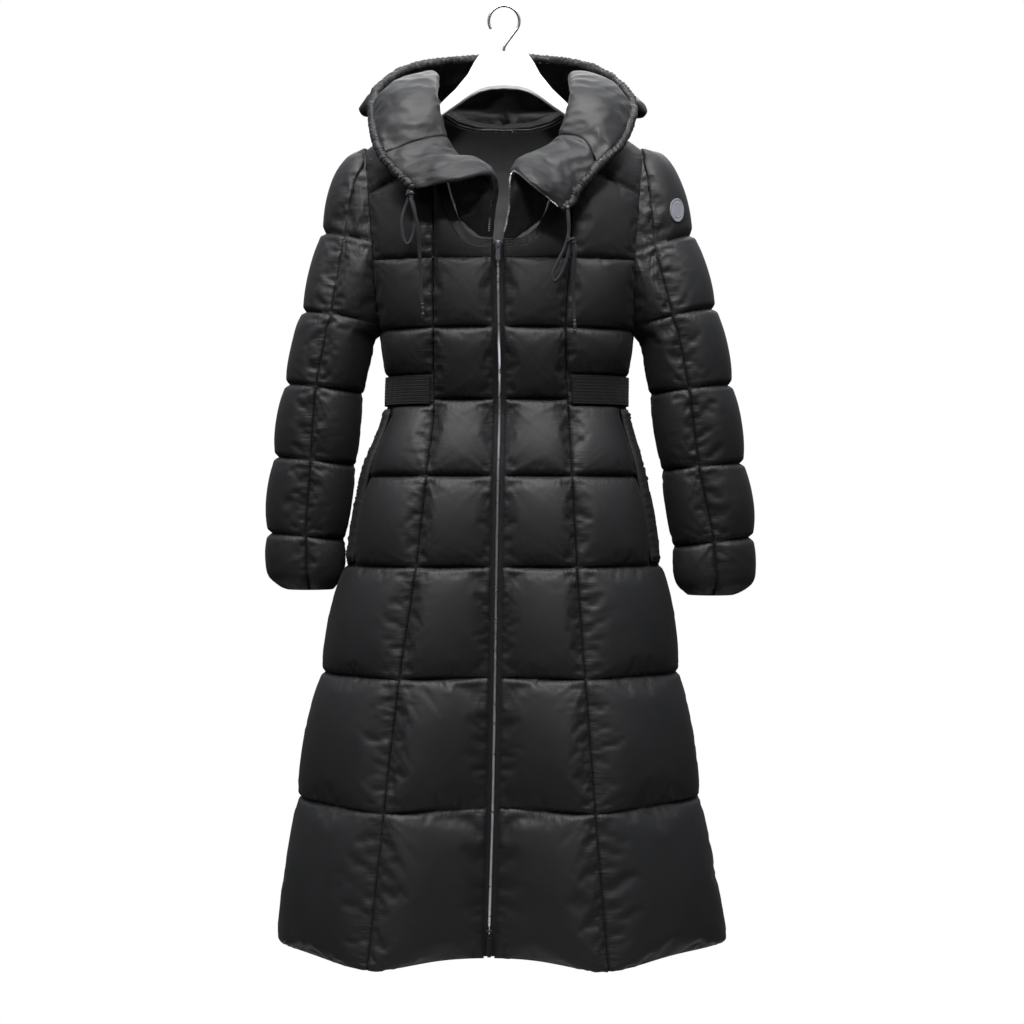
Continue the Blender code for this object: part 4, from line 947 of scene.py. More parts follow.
def gathered(net, stitched, gathers, seed):
    """How far each crossing moves along its normal."""
    across, down = runs(net, 1), runs(net, 0)
    lift = np.zeros(across.shape)
    lines = line_rows(stitched)
    for top, bottom in zip(lines, lines[1:]):
        block = slice(top, bottom + 1)
        for line, way in ((top, 1), (bottom, -1)):
            away = np.abs(down[block] - down[line])
            own = seed + line * 3.7 + way
            lift[block] += gathers.rows * ridge(across[[line], :], away, gathers.reach, own)
            for end in (0, -1):
                along = np.abs(across[block] - across[block][:, [end]])
                own = seed + line * 2.3 + way * 9 + end
                lift[block] += gathers.corners * fan(along, away, own)
    for end, size in ((0, gathers.first), (-1, gathers.last)):
        away = np.abs(across - across[:, [end]])
        lift += size * ridge(down[:, [end]], away, gathers.reach, seed + end * 1.3 + 50)
    edge = np.ones(across.shape)
    edge[:, 0] = edge[:, -1] = 0
    edge[lines, :] = 0
    edge[: lines[1]] *= gathers.top
    groove = np.where(edge == 0, STITCH_DEPTH, 0.0)
    groove[0, :], groove[-1, :] = 1.7 * STITCH_DEPTH, 0
    groove[lines, 0] = groove[lines, -1] = 0
    return lift * edge * MM - groove


def nearness(net, stitched, reach):
    """How near each crossing is to a stitched row and to a stitched side, 1 on it."""
    across, down = runs(net, 1), runs(net, 0)
    to_row = np.min([np.abs(down - down[[line], :]) for line in line_rows(stitched)], axis=0)
    to_side = np.minimum(across, across[:, [-1]] - across)
    return np.exp(-((to_row / reach) ** 1.2)), np.exp(-((to_side / reach) ** 1.2))


def normals_of(net, flip):
    """Unit normal at each crossing."""
    found = np.cross(np.gradient(net, axis=1), np.gradient(net, axis=0))
    found /= np.maximum(np.linalg.norm(found, axis=2, keepdims=True), 1e-12)
    return found if flip else -found


# %% Add the gathers and the lining
LINING_STEP, BACK_LINING_STEP = 4, 2
LINING_DEPTH = 1.4 * WALL     # the lining hangs this far behind the panel's middle surface
SUNK_MOST = 0.9 * WALL        # the outer cloth never goes deeper than this
NEAR_STITCH = 16              # millimetres over which the pleats in the finish fade


def crumpled(inside, flip):
    """The back's lining gathers a little along its seam at the centre."""
    loose = inside.copy()
    away = normals_of(inside, flip)
    for (i, j), across in np.ndenumerate(runs(inside, 1)):
        if 3 < across < 70:
            down = inside[i, j, 2] / MM
            fold = abs(noise.noise(Vector((down / 9, across / 30, 3.3)))) * 4.2
            loose[i, j] -= away[i, j] * fold * math.exp(-across / 16) * MM
    return loose


def lining_mesh(inside, flip, step):
    """The plain lining: a coarser net than the panel's, facing in."""
    down, over = (list(range(0, size - 1, step)) + [size - 1] for size in inside.shape[:2])
    bm, _ = cloth_grid(len(down), len(over), lambda i, j: inside[down[i], over[j]])
    if not flip:
        bmesh.ops.reverse_faces(bm, faces=bm.faces)
    for f in bm.faces:
        f.material_index = 1
    return mesh_of(bm, "lining")


def finish_panel(panel, seed):
    """Outer cloth on a fine net, a turned edge and a plain lining, as one mesh."""
    net, plain = finer(points_of(panel.thing.data)[panel.order]), finer(panel.plain)
    outward = normals_of(plain, panel.flip)
    inside = plain - outward * LINING_DEPTH
    lift = gathered(net, panel.stitched, panel.gathers, seed)
    net = net + normals_of(net, panel.flip) * lift[:, :, None]
    sunk = np.maximum(-SUNK_MOST - np.sum((net - plain) * outward, axis=2), 0)
    net = net + outward * sunk[:, :, None]
    rows, cols = net.shape[:2]
    bm, crossings = cloth_grid(rows, cols, lambda i, j: net[i, j])
    order = order_of(bm, crossings, rows, cols)
    if panel.flip:
        bmesh.ops.reverse_faces(bm, faces=bm.faces)
    rim = [e for e in bm.edges if e.is_boundary]
    on_rim = {tuple(v.co): key for key, v in crossings.items() if v.is_boundary}
    turned = bmesh.ops.extrude_edge_only(bm, edges=rim)
    for v in (g for g in turned["geom"] if isinstance(g, bmesh.types.BMVert)):
        v.co = inside[on_rim[tuple(v.co)]]
    if "back_centre" in panel.thing.name:
        lining = lining_mesh(crumpled(inside, panel.flip), panel.flip, BACK_LINING_STEP)
    else:
        lining = lining_mesh(inside, panel.flip, LINING_STEP)
    bm.from_mesh(lining)
    bpy.data.meshes.remove(lining)
    mesh = mesh_of(bm, panel.thing.name)
    mesh.shade_smooth()
    mesh.set_sharp_from_angle(angle=math.radians(80))
    near = nearness(net, panel.stitched, NEAR_STITCH)
    for name, values in zip(("near_row", "near_side"), near):
        layer = mesh.attributes.new(name, "FLOAT", "POINT")
        spread = np.zeros(len(mesh.vertices), np.float32)
        spread[order] = values
        layer.data.foreach_set("value", spread)
    panel.thing.vertex_groups.clear()
    panel.thing.data = mesh


for number, panel in enumerate(panels):
    finish_panel(panel, 11.0 * number)


def crumple(thing):
    """Smooth a band piece once and give its cloth soft, irregular creases."""
    thing.vertex_groups.clear()
    rounder = thing.modifiers.new("rounder", "SUBSURF")
    rounder.levels = rounder.render_levels = 1
    mesh = applied(thing)
    places = points_of(mesh)
    normals = np.zeros(places.size)
    mesh.vertices.foreach_get("normal", normals)
    lift = np.empty(len(places))
    for k, (x, y, z) in enumerate(places / MM):
        crease = abs(noise.noise(Vector((x / 34, y / 34, z / 17 + 5.0))))
        lift[k] = 0.5 - 2.6 * crease + 0.7 * noise.noise(Vector((x / 12, y / 12, z / 7 + 5.0)))
    places += normals.reshape(-1, 3) * lift[:, None] * MM
    mesh.vertices.foreach_set("co", places.ravel())
    mesh.update()
    thing.data = mesh
    mesh.shade_smooth()


for thing in padded_pieces:
    if "collar" in thing.name or "hood" in thing.name:
        crumple(thing)
faces = (f for thing in shell_pieces for f in thing.data.polygons)
print("triangles in the shell:", sum(len(f.vertices) - 2 for f in faces))

# %% [markdown]
# ## What each piece stands for
# A piece that replaces a CAD node hides it. The CAD node stays behind for collisions.

# %% Replace the CAD walls
def piece(name):
    return bpy.data.objects[name]


NODES = ("front_centre_", "front_side_", "back_side_", "sleeve_front_", "sleeve_outer_",
         "collar_", "hood_")
for side, mark in SIDES:
    for node in NODES:
        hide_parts(node + mark)
    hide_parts("hood_rim_" + mark)
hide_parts("back_centre")

# %% [markdown]
# ## Helpers for the trims
# Turned parts start from an outline that is spun round an axis. `landing` looks down on the
# finished cloth from outside, so that stitches and the patch lie on it.

# %% Turned parts and landing points
def placed(across, through, along, centre):
    """The matrix that turns a piece's axes to three directions and moves it to centre."""
    turn = Matrix((across, through, along)).transposed().to_4x4()
    turn.translation = centre
    return turn


def turned(name, profile, steps, place, axis):
    """Spin an outline of (radius, height) points in millimetres round an axis."""
    bm = bmesh.new()
    axis = unit(axis)
    across = unit(axis.cross(Vector((0.3, 1, 0.2))))
    rim = [bm.verts.new(across * r * MM + axis * h * MM) for r, h in profile]
    edges = [bm.edges.new(pair) for pair in zip(rim, rim[1:])]
    if profile[0][0] > 0:
        edges.append(bm.edges.new((rim[-1], rim[0])))
    bmesh.ops.spin(bm, geom=rim + edges, cent=(0, 0, 0), axis=axis, steps=steps, angle=math.tau,
                   use_merge=True)
    bmesh.ops.remove_doubles(bm, verts=bm.verts, dist=0.001 * MM)
    bmesh.ops.recalc_face_normals(bm, faces=bm.faces)
    bmesh.ops.translate(bm, verts=bm.verts, vec=place)
    return finish_piece(name, bm, smooth=35)


def landing_tree(made):
    """Search tree of a finished piece."""
    bm = bmesh.new()
    graph = bpy.context.evaluated_depsgraph_get()
    bm.from_object(made, graph)
    tree = BVHTree.FromBMesh(bm)
    bm.free()
    return tree


def landing(tree, here, away, reach=60 * MM):
    """Point of the cloth met when coming from outside along the direction away."""
    found = tree.ray_cast(here + away * reach, -away, 2 * reach)[0]
    return here if found is None else found


def body_facing(side, face, a, z):
    """Outward direction of the body's surface."""
    step = 0.002
    before, after = (body_point(side, face, min(max(a + d, 0.0), 2.0), z) for d in (-step, step))
    along = after - before
    up = body_point(side, face, a, z + step) - body_point(side, face, a, z - step)
    away = unit(along.cross(up))
    outward = away.y * face if abs(away.y) > 0.05 else away.x * side
    return -away if outward < 0 else away


# %% [markdown]
# ## Drawcords
# A limp cord is a tube round its route, and a tube can't stretch by mistake. It needs its real
# ends: a flanged eyelet where it leaves the casing, a wrapped knot where the loop meets the
# tail, and a crimped metal tip.

# %% Make the drawcords
EYELET = ((2.6, -0.1), (2.9, 0.3), (4.2, 0.35), (4.8, 0.0), (4.9, -0.6), (4.2, -1.3),
          (3.0, -1.3), (2.6, -0.9))
TIP = ((0, 0), (2.2, 0), (2.45, 0.5), (2.45, 2.0), (2.1, 2.6), (2.1, 4.4), (2.35, 5.0),
       (2.35, 12.6), (2.1, 13.2), (2.35, 13.8), (2.4, 16.4), (1.9, 18.0), (0, 18.4))
KNOT_AT = {RIGHT: 8, LEFT: 9}  # which point of the route is knotted
KNOT_TURNS, KNOT_RADIUS, KNOT_PITCH, KNOT_STEPS = 1.8, 3.6 * MM, 4.4 * MM, 36
cord_parts = []


def smooth_route(route):
    """The route as evenly spaced points with its corners eased."""
    fine = np.array([catmull(route, (len(route) - 1) * k / 400) for k in range(401)])
    for _ in range(60):
        fine[1:-1] = (fine[:-2] + 2 * fine[1:-1] + fine[2:]) / 4
    run = np.concatenate([[0], np.cumsum(np.linalg.norm(np.diff(fine, axis=0), axis=1))])
    even = np.linspace(0, run[-1], CORD_POINTS)
    return [Vector([np.interp(d, run, fine[:, axis]) for axis in range(3)]) for d in even]


def knot_line(side, centre):
    """The wraps of the knot, narrower at both ends."""
    down = unit(Vector((0.15 * side, -0.2, -1)))
    across = unit(down.orthogonal())
    wraps = []
    for k in range(KNOT_STEPS + 1):
        turn = math.tau * KNOT_TURNS * k / KNOT_STEPS
        round_it = across * math.cos(turn) + down.cross(across) * math.sin(turn)
        rise = (k / KNOT_STEPS - 0.5) * KNOT_TURNS * KNOT_PITCH
        reach = KNOT_RADIUS * min(1.0, 0.4 + min(k, KNOT_STEPS - k) / 5)
        wraps.append(centre + down * rise + round_it * reach)
    return wraps


for side, mark in SIDES:
    route = [Vector(p) * MM for p in CORD_ROUTES[side]]
    smooth = smooth_route(route)
    cord = tube("cord_" + mark, smooth, CORD_RADIUS)
    leaving = unit(route[1] - route[0])
    ending = unit(route[-1] - catmull(route, len(route) - 1.05))
    eyelet = turned("eyelet_" + mark, EYELET, 40, route[0] - leaving * 1.6 * MM, leaving)
    tip = turned("tip_" + mark, TIP, 28, route[-1] + ending * 0.3 * MM, ending)
    knot = tube("knot_" + mark, knot_line(side, route[KNOT_AT[side]]), CORD_RADIUS * 0.95)
    length = lengths_along(smooth)[-1]
    tuple(route[0])
    [tuple(p) for p in smooth]
    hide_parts("drawcord_" + mark)
    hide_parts("cord_tip_" + mark)
    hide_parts("cord_eyelet_" + mark)
    cord_parts.append((cord, knot, tip, eyelet))
    print("drawcord", mark, round(length * 1000), "mm")

# %% [markdown]
# ## The zip
# Metal teeth are clamped on the beaded edge of each tape, and the two rows mesh half a tooth
# apart. A tooth is a small bevelled block, and the same block is set again and again. Along
# the open collar the teeth of one edge show, and those of the other lie behind its edge.

# %% Make the teeth
TOOTH = Vector((2.6, 1.9, 1.0)) * MM     # across the zip, through it, along it
TOOTH_PITCH = 2.5 * MM
TOOTH_BATCH = 30
ZIP_TOP, ZIP_BOTTOM = -362 * MM, -1296 * MM
ZIP_FRONT = 1.5 * MM                     # the chain's middle, behind the fronts' middle surface
MESH_HALF = 0.55 * MM                    # how far each row of closed teeth lies from the middle
HIDDEN_IN, HIDDEN_DOWN = 6 * MM, 2.8 * MM  # where the right edge's open teeth lie


def teeth(name, spots):
    """Teeth at (centre, across, along) spots, as one piece."""
    block = bmesh.new()
    bmesh.ops.create_cube(block, size=1.0)
    bmesh.ops.scale(block, vec=TOOTH, verts=block.verts)
    bmesh.ops.bevel(block, geom=list(block.edges), offset=0.25 * MM, segments=1, profile=0.5,
                    material=-1, affect="EDGES")
    tooth = mesh_of(block, "tooth")
    bm = bmesh.new()
    for first in range(0, len(spots), TOOTH_BATCH):
        few = bmesh.new()
        for centre, across, along in spots[first:first + TOOTH_BATCH]:
            across = unit(across - along * across.dot(along))
            turn = placed(across, along.cross(across), along, centre)
            tooth.transform(turn)
            few.from_mesh(tooth)
            tooth.transform(turn.inverted())
        batch = mesh_of(few, "batch")
        bm.from_mesh(batch)
        bpy.data.meshes.remove(batch)
    bpy.data.meshes.remove(tooth)
    return finish_piece(name, bm, smooth=30)


def zip_line(z):
    """Middle of the closed zip at a height."""
    row = level_at(z)
    right, left = (body_point(side, FRONT, 0.0, z) for side in (RIGHT, LEFT))
    return Vector((row.zip, (right.y + left.y) / 2, z))


spots = []
count = int((ZIP_TOP - ZIP_BOTTOM) / (TOOTH_PITCH / 2))
for k in range(count):
    z = ZIP_TOP - k * TOOTH_PITCH / 2
    here = zip_line(z) + Vector((MESH_HALF if k % 2 else -MESH_HALF, ZIP_FRONT, 0))
    spots.append((here, Vector((1, 0, 0)), unit(zip_line(z) - zip_line(z - 5 * MM))))
chain = teeth("teeth_closed", spots)
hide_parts("zip_chain")
open_teeth = []
for side, mark in SIDES:
    shares = [0.06 + 0.9 * k / 299 for k in range(300)]
    edge = [hood_point(side, 0.0, t) for t in shares]
    spots = []
    for k in every(edge, TOOTH_PITCH):
        here, t = edge[k], shares[k]
        into = unit(hood_point(side, 0.02, t) - here)
        along = unit(hood_point(side, 0.0, t + 0.01) - here)
        if side == RIGHT:
            here = here + into * HIDDEN_IN - hood_normal(side, 0.0, t) * HIDDEN_DOWN
        spots.append((here, into, along))
    made = teeth("teeth_" + mark, spots)
    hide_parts("zip_teeth_" + mark)
    open_teeth.append(made)
print("teeth:", count, "closed")

# %% [markdown]
# ## Waist elastic
# A ribbed band of woven elastic is stretched round the sides and the back and sewn down at
# both ends. Its ribs run along it, and it crinkles a little where the cloth below gathers.

# %% Make the waist elastic
ELASTIC_FROM, ELASTIC_RIBS = 1.04, 9
ELASTIC_ROWS, ELASTIC_COLS = 37, 300


def elastic_path(share):
    """Panel and column of the band, from the right front round the back to the left front."""
    run = share * (4 - 2 * (ELASTIC_FROM - 1) + 2)
    front, back = 2 - ELASTIC_FROM, 2.0
    if run < front:
        return RIGHT, FRONT, ELASTIC_FROM + run
    run -= front
    if run < back:
        return RIGHT, BACK, 2 - run
    run -= back
    if run < back:
        return LEFT, BACK, run
    return LEFT, FRONT, max(2 - (run - back), ELASTIC_FROM)


@lru_cache(maxsize=None)
def elastic_column(j):
    """Both edges of the band and its outward direction at one of its columns."""
    side, face, a = elastic_path(j / (ELASTIC_COLS - 1))
    top, bottom = WAIST_TOP - 2 * MM, WAIST_BOTTOM + 2 * MM
    away = body_facing(side, face, a, (top + bottom) / 2)
    return body_point(side, face, a, top), body_point(side, face, a, bottom), away


def elastic_point(i, j):
    top, bottom, away = elastic_column(j)
    down = i / (ELASTIC_ROWS - 1)
    rib = 0.2 * math.cos(math.tau * ELASTIC_RIBS * down)
    crinkle = 0.7 * noise.noise(Vector((j / 4.1, down * 1.2, 3)))
    return top.lerp(bottom, down) + away * (WALL / 2 + (2.3 + rib + crinkle) * MM)


bm, _ = cloth_grid(ELASTIC_ROWS, ELASTIC_COLS, elastic_point)
bmesh.ops.recalc_face_normals(bm, faces=bm.faces)
elastic = finish_piece("elastic", bm)
middle_line = [elastic_point(ELASTIC_ROWS // 2, j) for j in range(ELASTIC_COLS)]
band_length = lengths_along(middle_line)[-1]
thicken = elastic.modifiers.new("thickness", "SOLIDIFY")
thicken.thickness = 1.6 * MM
thicken.offset = -1 if elastic.data.polygons[0].normal.y < 0 else 1
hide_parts("waist_elastic")
print("waist elastic", round(band_length * 1000), "mm round")

# %% [markdown]
# ## Pocket welts
# Each hip pocket closes behind a narrow folded strip. It is softly stuffed, and its outer
# edge is puckered by the seam that holds it.

# %% Make the pocket welts
WELT_TO = 1.8
welts = []
WELT_ROWS, WELT_COLS = 90, 14


@lru_cache(maxsize=None)
def welt_row(side, i):
    """Both edges of a welt and its outward direction at one of its rows."""
    z = POCKET_TOP - 5 * MM + i / (WELT_ROWS - 1) * (POCKET_BOTTOM - POCKET_TOP + 10 * MM)
    away = body_facing(side, FRONT, (WELT_FROM + WELT_TO) / 2, z)
    return body_point(side, FRONT, WELT_FROM, z), body_point(side, FRONT, WELT_TO, z), away


def welt_point(side, i, j):
    near, far, away = welt_row(side, i)
    down, share = i / (WELT_ROWS - 1), j / (WELT_COLS - 1)
    pucker = noise.noise(Vector((down * 34, share * 1.6, side)))
    fine = noise.noise(Vector((down * 80, share * 2.5, side + 4)))
    lift = 1.9 + 5.2 * (1 - abs(2 * share - 1) ** 2.4) ** 0.6 * min(1.0, min(down, 1 - down) / 0.03)
    lift += (3.4 * abs(pucker) + 1.6 * fine) * (0.2 + share)
    return near.lerp(far, share) + away * (WALL / 2 + lift * MM)


for side, mark in SIDES:
    bm, _ = cloth_grid(WELT_ROWS, WELT_COLS, lambda i, j: welt_point(side, i, j))
    if side > 0:
        bmesh.ops.reverse_faces(bm, faces=bm.faces)
    welt = finish_piece("welt_" + mark, bm)
    thicken = welt.modifiers.new("thickness", "SOLIDIFY")
    thicken.thickness, thicken.offset = 1.4 * MM, -1
    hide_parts("pocket_welt_" + mark)
    welts.append(welt)

# %% [markdown]
# ## Stitches and the sleeve patch
# The facing of the collar is sewn down with three rows of topstitching. The patch is a
# plain oval with a satin-stitched border and one inner ring.

# %% Topstitch the facings
STITCH = Vector((0.8, 0.8, 3.0)) * MM
STITCH_PITCH = 4.2 * MM
stitch_rows = []
for side, mark in SIDES:
    cloth = landing_tree(piece("shell_collar_" + mark))
    bm = bmesh.new()
    ray = Vector((0, -1, 0))
    for station in (0.5, 0.68, 0.86):
        shares = [0.42 + 0.52 * k / 159 for k in range(160)]
        line = [hood_point(side, station, t) for t in shares]
        for k in every(line, STITCH_PITCH):
            spot = landing(cloth, line[k], ray)
            ahead = landing(cloth, hood_point(side, station, shares[k] + 0.008), ray)
            along = unit(ahead - spot)
            across = unit(ray - along * ray.dot(along))
            made = bmesh.ops.create_icosphere(bm, subdivisions=1, radius=0.5)["verts"]
            bmesh.ops.scale(bm, vec=STITCH, verts=made)
            bmesh.ops.transform(bm, matrix=placed(along.cross(across), across, along, spot),
                                verts=made)
    stitch_rows.append(finish_piece("topstitch_" + mark, bm))

# %% Make the sleeve patch
PATCH_Z, PATCH_ANGLE = -318 * MM, math.radians(42)
PATCH_TALL, PATCH_WIDE = 19 * MM, 12.5 * MM
PATCH_RINGS, PATCH_AROUND = 16, 72
cloth = landing_tree(piece("shell_sleeve_outer_l"))


def patch_point(i, j):
    """Ring i from the middle out, then over the edge, and place j round it."""
    ring = min(i / PATCH_RINGS, 1.0)
    turn = math.tau * j / PATCH_AROUND
    u, v = ring * math.cos(turn), ring * math.sin(turn)
    z = PATCH_Z + v * PATCH_TALL
    angle = PATCH_ANGLE - u * PATCH_WIDE / arm_row(LEFT, z)[2]
    here = arm_point(LEFT, z, angle)
    over = arm_point(LEFT, z, angle - 0.02) - arm_point(LEFT, z, angle + 0.02)
    up = arm_point(LEFT, z + 2 * MM, angle) - arm_point(LEFT, z - 2 * MM, angle)
    away = unit(over.cross(up))
    away = away if away.y < 0 else -away
    raised = 1.6 + (0.7 if ring > 0.84 else 0.0) + (0.5 if 0.6 < ring < 0.68 else 0.0)
    if ring > 0.84:
        raised += 0.25 * math.cos(36 * turn)
    if i > PATCH_RINGS:
        raised = 0.4
    return landing(cloth, here, away) + away * raised * MM


bm, _ = cloth_grid(PATCH_RINGS + 2, PATCH_AROUND + 1, patch_point)
bmesh.ops.remove_doubles(bm, verts=bm.verts, dist=0.02 * MM)
bmesh.ops.recalc_face_normals(bm, faces=bm.faces)
patch = finish_piece("patch", bm, smooth=50)
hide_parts("sleeve_patch")

# %% [markdown]
# ## Inside the neck
# A bound seam runs round the back of the neck where the collar meets the lining, and a
# short hang loop is caught in its middle.

# %% Make the neck seam and the hang loop
SEAM_STATIONS, SEAM_FROM = 30, 6.6
stations = [SEAM_FROM + (LAST - SEAM_FROM) * k / SEAM_STATIONS for k in range(SEAM_STATIONS + 1)]
path = [(RIGHT, s) for s in stations] + [(LEFT, s) for s in reversed(stations[:-1])]
seam = tube("neck_seam", [hood_point(side, s, 0.035) + hood_normal(side, s, 0.05) * 2.6 * MM
                          for side, s in path], 1.5 * MM, 8)
middle = hood_point(RIGHT, float(LAST), 0.035) + Vector((0, -5.2, 0)) * MM
LOOP_HALF, LOOP_DROP, LOOP_OUT, LOOP_STEPS = 13 * MM, 7 * MM, 1.5 * MM, 24
line = []
for k in range(LOOP_STEPS + 1):
    turn = math.pi * k / LOOP_STEPS
    line.append(middle + Vector((math.cos(turn) * LOOP_HALF, -LOOP_OUT * math.sin(turn),
                                 -math.sin(turn) ** 0.6 * LOOP_DROP)))
loop = tube("hang_loop", line, 1.4 * MM, 8)

# %% List the trims by slot
cords, knots, tips, eyelets = zip(*cord_parts)
SLOTS = {
    "zip_metal": [chain, *open_teeth],
    "trim_woven": [elastic, seam, loop, *stitch_rows, *cords, *knots],
    "patch_felt": [patch],
    "shell_nylon": welts,
    "cord_metal": [*tips, *eyelets],
}
for slot, things in SLOTS.items():
    for thing in things:
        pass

# %% [markdown]
# ## Studio
# Black cloth shows its shape only by what it reflects. The light comes from above and a
# little from the front, as from a shop's ceiling, so each block is bright on its upper half
# and falls into shade below. The room itself is dim near the ground. The backdrop is plain
# white where the camera looks at it, and the pale floor lies well below the hem.

# %% Shader nodes
def shaded(made):
    """Switch on the nodes of a material or world and return its tree."""
    made.use_nodes = True
    return made.node_tree


def set_inputs(node, **values):
    """Set constants on a node's sockets, whose names are written with underscores."""
    for name, value in values.items():
        node.inputs[name.replace("_", " ")].default_value = value
    return node


def add_node(tree, kind, **values):
    """A new shader node with its constants set."""
    return set_inputs(tree.nodes.new("ShaderNode" + kind), **values)


def new_material(name):
    """A new material with its node tree and its shader."""
    made = bpy.data.materials.new(name)
    tree = shaded(made)
    return made, tree, tree.nodes["Principled BSDF"]


# %% Floor
FLOOR_Z, FLOOR_RADIUS = -2.02, 1.25
bm = bmesh.new()
bmesh.ops.create_circle(bm, cap_ends=True, segments=96, radius=FLOOR_RADIUS)
bmesh.ops.translate(bm, verts=bm.verts, vec=(0, 0, FLOOR_Z))
bmesh.ops.recalc_face_normals(bm, faces=bm.faces)
floor = add_object("studio_floor", mesh_of(bm, "studio_floor"))
pale, _, shader = new_material("studio_floor")
set_inputs(shader, Base_Color=(0.42, 0.42, 0.41, 1), Roughness=0.9)
floor.data.materials.append(pale)

# %% Lights
def soft_light(name, place, aim, size, power):
    """A large area light at place, turned to aim."""
    data = bpy.data.lights.new(name, "AREA")
    data.shape = "RECTANGLE"
    data.size, data.size_y = size
    data.energy = power
    lamp = add_object(name, data)
    lamp.location = place
    lamp.rotation_euler = (Vector(aim) - Vector(place)).to_track_quat("-Z", "Y").to_euler()
    lamp.visible_camera = False
    return lamp


soft_light("ceiling_front", (-0.2, -1.65, 2.5), (0, 0, -0.85), (3.4, 1.3), 225)
soft_light("ceiling_back", (0.3, 1.8, 1.7), (0, 0, -0.7), (2.6, 1.2), 60)
soft_light("low_front", (0.5, -3.8, 0.3), (0, 0, -0.8), (1.2, 1.2), 2)
neck = soft_light("neck", (0, -1.7, 0.75), (0, 0.05, -0.2), (0.5, 0.3), 0.7)
neck.data.spread = math.radians(13)

# %% Room
world = bpy.data.worlds.new("room")
tree = shaded(world)
sky = set_inputs(tree.nodes["Background"], Color=(0.93, 0.96, 1.0, 1))
seen = add_node(tree, "Background", Color=(1, 1, 1, 1), Strength=1.0)
path = add_node(tree, "LightPath")
choose = add_node(tree, "MixShader")
ways = add_node(tree, "TexCoord")
parts = add_node(tree, "SeparateXYZ")
rise = add_node(tree, "MapRange", From_Min=0.0, From_Max=0.9, To_Min=0.015, To_Max=0.9)
rise.interpolation_type = "SMOOTHSTEP"
for source, target in (
    (ways.outputs["Generated"], parts.inputs["Vector"]),
    (parts.outputs["Z"], rise.inputs["Value"]),
    (rise.outputs["Result"], sky.inputs["Strength"]),
    (path.outputs["Is Camera Ray"], choose.inputs["Fac"]),
    (sky.outputs["Background"], choose.inputs[1]),
    (seen.outputs["Background"], choose.inputs[2]),
    (choose.outputs["Shader"], tree.nodes["World Output"].inputs["Surface"]),
):
    tree.links.new(source, target)
bpy.context.scene.world = world
bpy.context.scene.view_settings.view_transform = "Standard"
print("lights:", len(bpy.data.lights))

# %% [markdown]
# ## Down-proof nylon
# The shell is a very fine, tightly woven and slightly glossy nylon. What the eye sees is its
# soft sheen, tiny crinkles where it is gathered, and faint changes of gloss. The weave
# itself is far below a millimetre, so it is only a trace of relief.

# %% Nylon
def nylon(name, dark, light, rough, wrinkle):
    """Black shell nylon: tint, gloss, pleats beside the stitches and weave."""
    made, tree, shader = new_material(name)
    link = tree.links.new
    place = add_node(tree, "TexCoord")

    def noise_at(scale, detail, stretch=(1.0, 1.0, 1.0)):
        mapping = add_node(tree, "Mapping", Scale=stretch)
        texture = add_node(tree, "TexNoise", Scale=scale, Detail=detail, Distortion=0.4)
        link(place.outputs["Object"], mapping.inputs["Vector"])
        link(mapping.outputs["Vector"], texture.inputs["Vector"])
        return texture.outputs["Fac"]

    def maths(operation, first, second):
        node = add_node(tree, "Math")
        node.operation = operation
        for socket, value in zip(node.inputs, (first, second)):
            if isinstance(value, float):
                socket.default_value = value
            else:
                link(value, socket)
        return node.outputs["Value"]

    def ridged(value):
        """Sharp valleys between rounded ridges."""
        return maths("ABSOLUTE", maths("SUBTRACT", value, 0.5), 0.0)

    def near(attribute):
        node = add_node(tree, "Attribute")
        node.attribute_name = attribute
        return node.outputs["Fac"]

    ramp = add_node(tree, "ValToRGB")
    for stop, at, colour in zip(ramp.color_ramp.elements, (0.3, 0.7), (dark, light)):
        stop.position, stop.color = at, (*colour, 1)
    link(noise_at(9, 3), ramp.inputs["Fac"])
    link(ramp.outputs["Color"], shader.inputs["Base Color"])
    span = add_node(tree, "MapRange", To_Min=rough - 0.05, To_Max=rough + 0.07)
    link(noise_at(30, 4), span.inputs["Value"])
    link(span.outputs["Result"], shader.inputs["Roughness"])
    pleats = maths("MULTIPLY", ridged(noise_at(110, 2, (1.0, 1.0, 0.16))), near("near_row"))
    creases = maths("MULTIPLY", ridged(noise_at(95, 2, (0.22, 0.22, 1.0))), near("near_side"))
    stitched = maths("MULTIPLY", maths("ADD", pleats, creases), 2.6)
    soft = ridged(noise_at(26, 3, (1.0, 1.0, 0.4)))
    weave = maths("MULTIPLY", noise_at(1700, 1), 0.05)
    height = maths("ADD", maths("ADD", stitched, soft), weave)
    bump = add_node(tree, "Bump", Strength=wrinkle, Distance=2 * MM)
    link(height, bump.inputs["Height"])
    link(bump.outputs["Normal"], shader.inputs["Normal"])
    set_inputs(shader, Specular_IOR_Level=0.33, Sheen_Weight=0.03, Sheen_Roughness=0.4)
    return made


shell_nylon = nylon("shell_nylon", (0.009, 0.009, 0.0098), (0.0125, 0.0125, 0.0133),
                    rough=0.54, wrinkle=0.45)
lining_nylon = nylon("lining_nylon", (0.07, 0.07, 0.074), (0.1, 0.1, 0.105),
                     rough=0.5, wrinkle=0.2)
for made in shell_pieces:
    made.data.materials.clear()
    made.data.materials.append(shell_nylon)
    made.data.materials.append(lining_nylon)

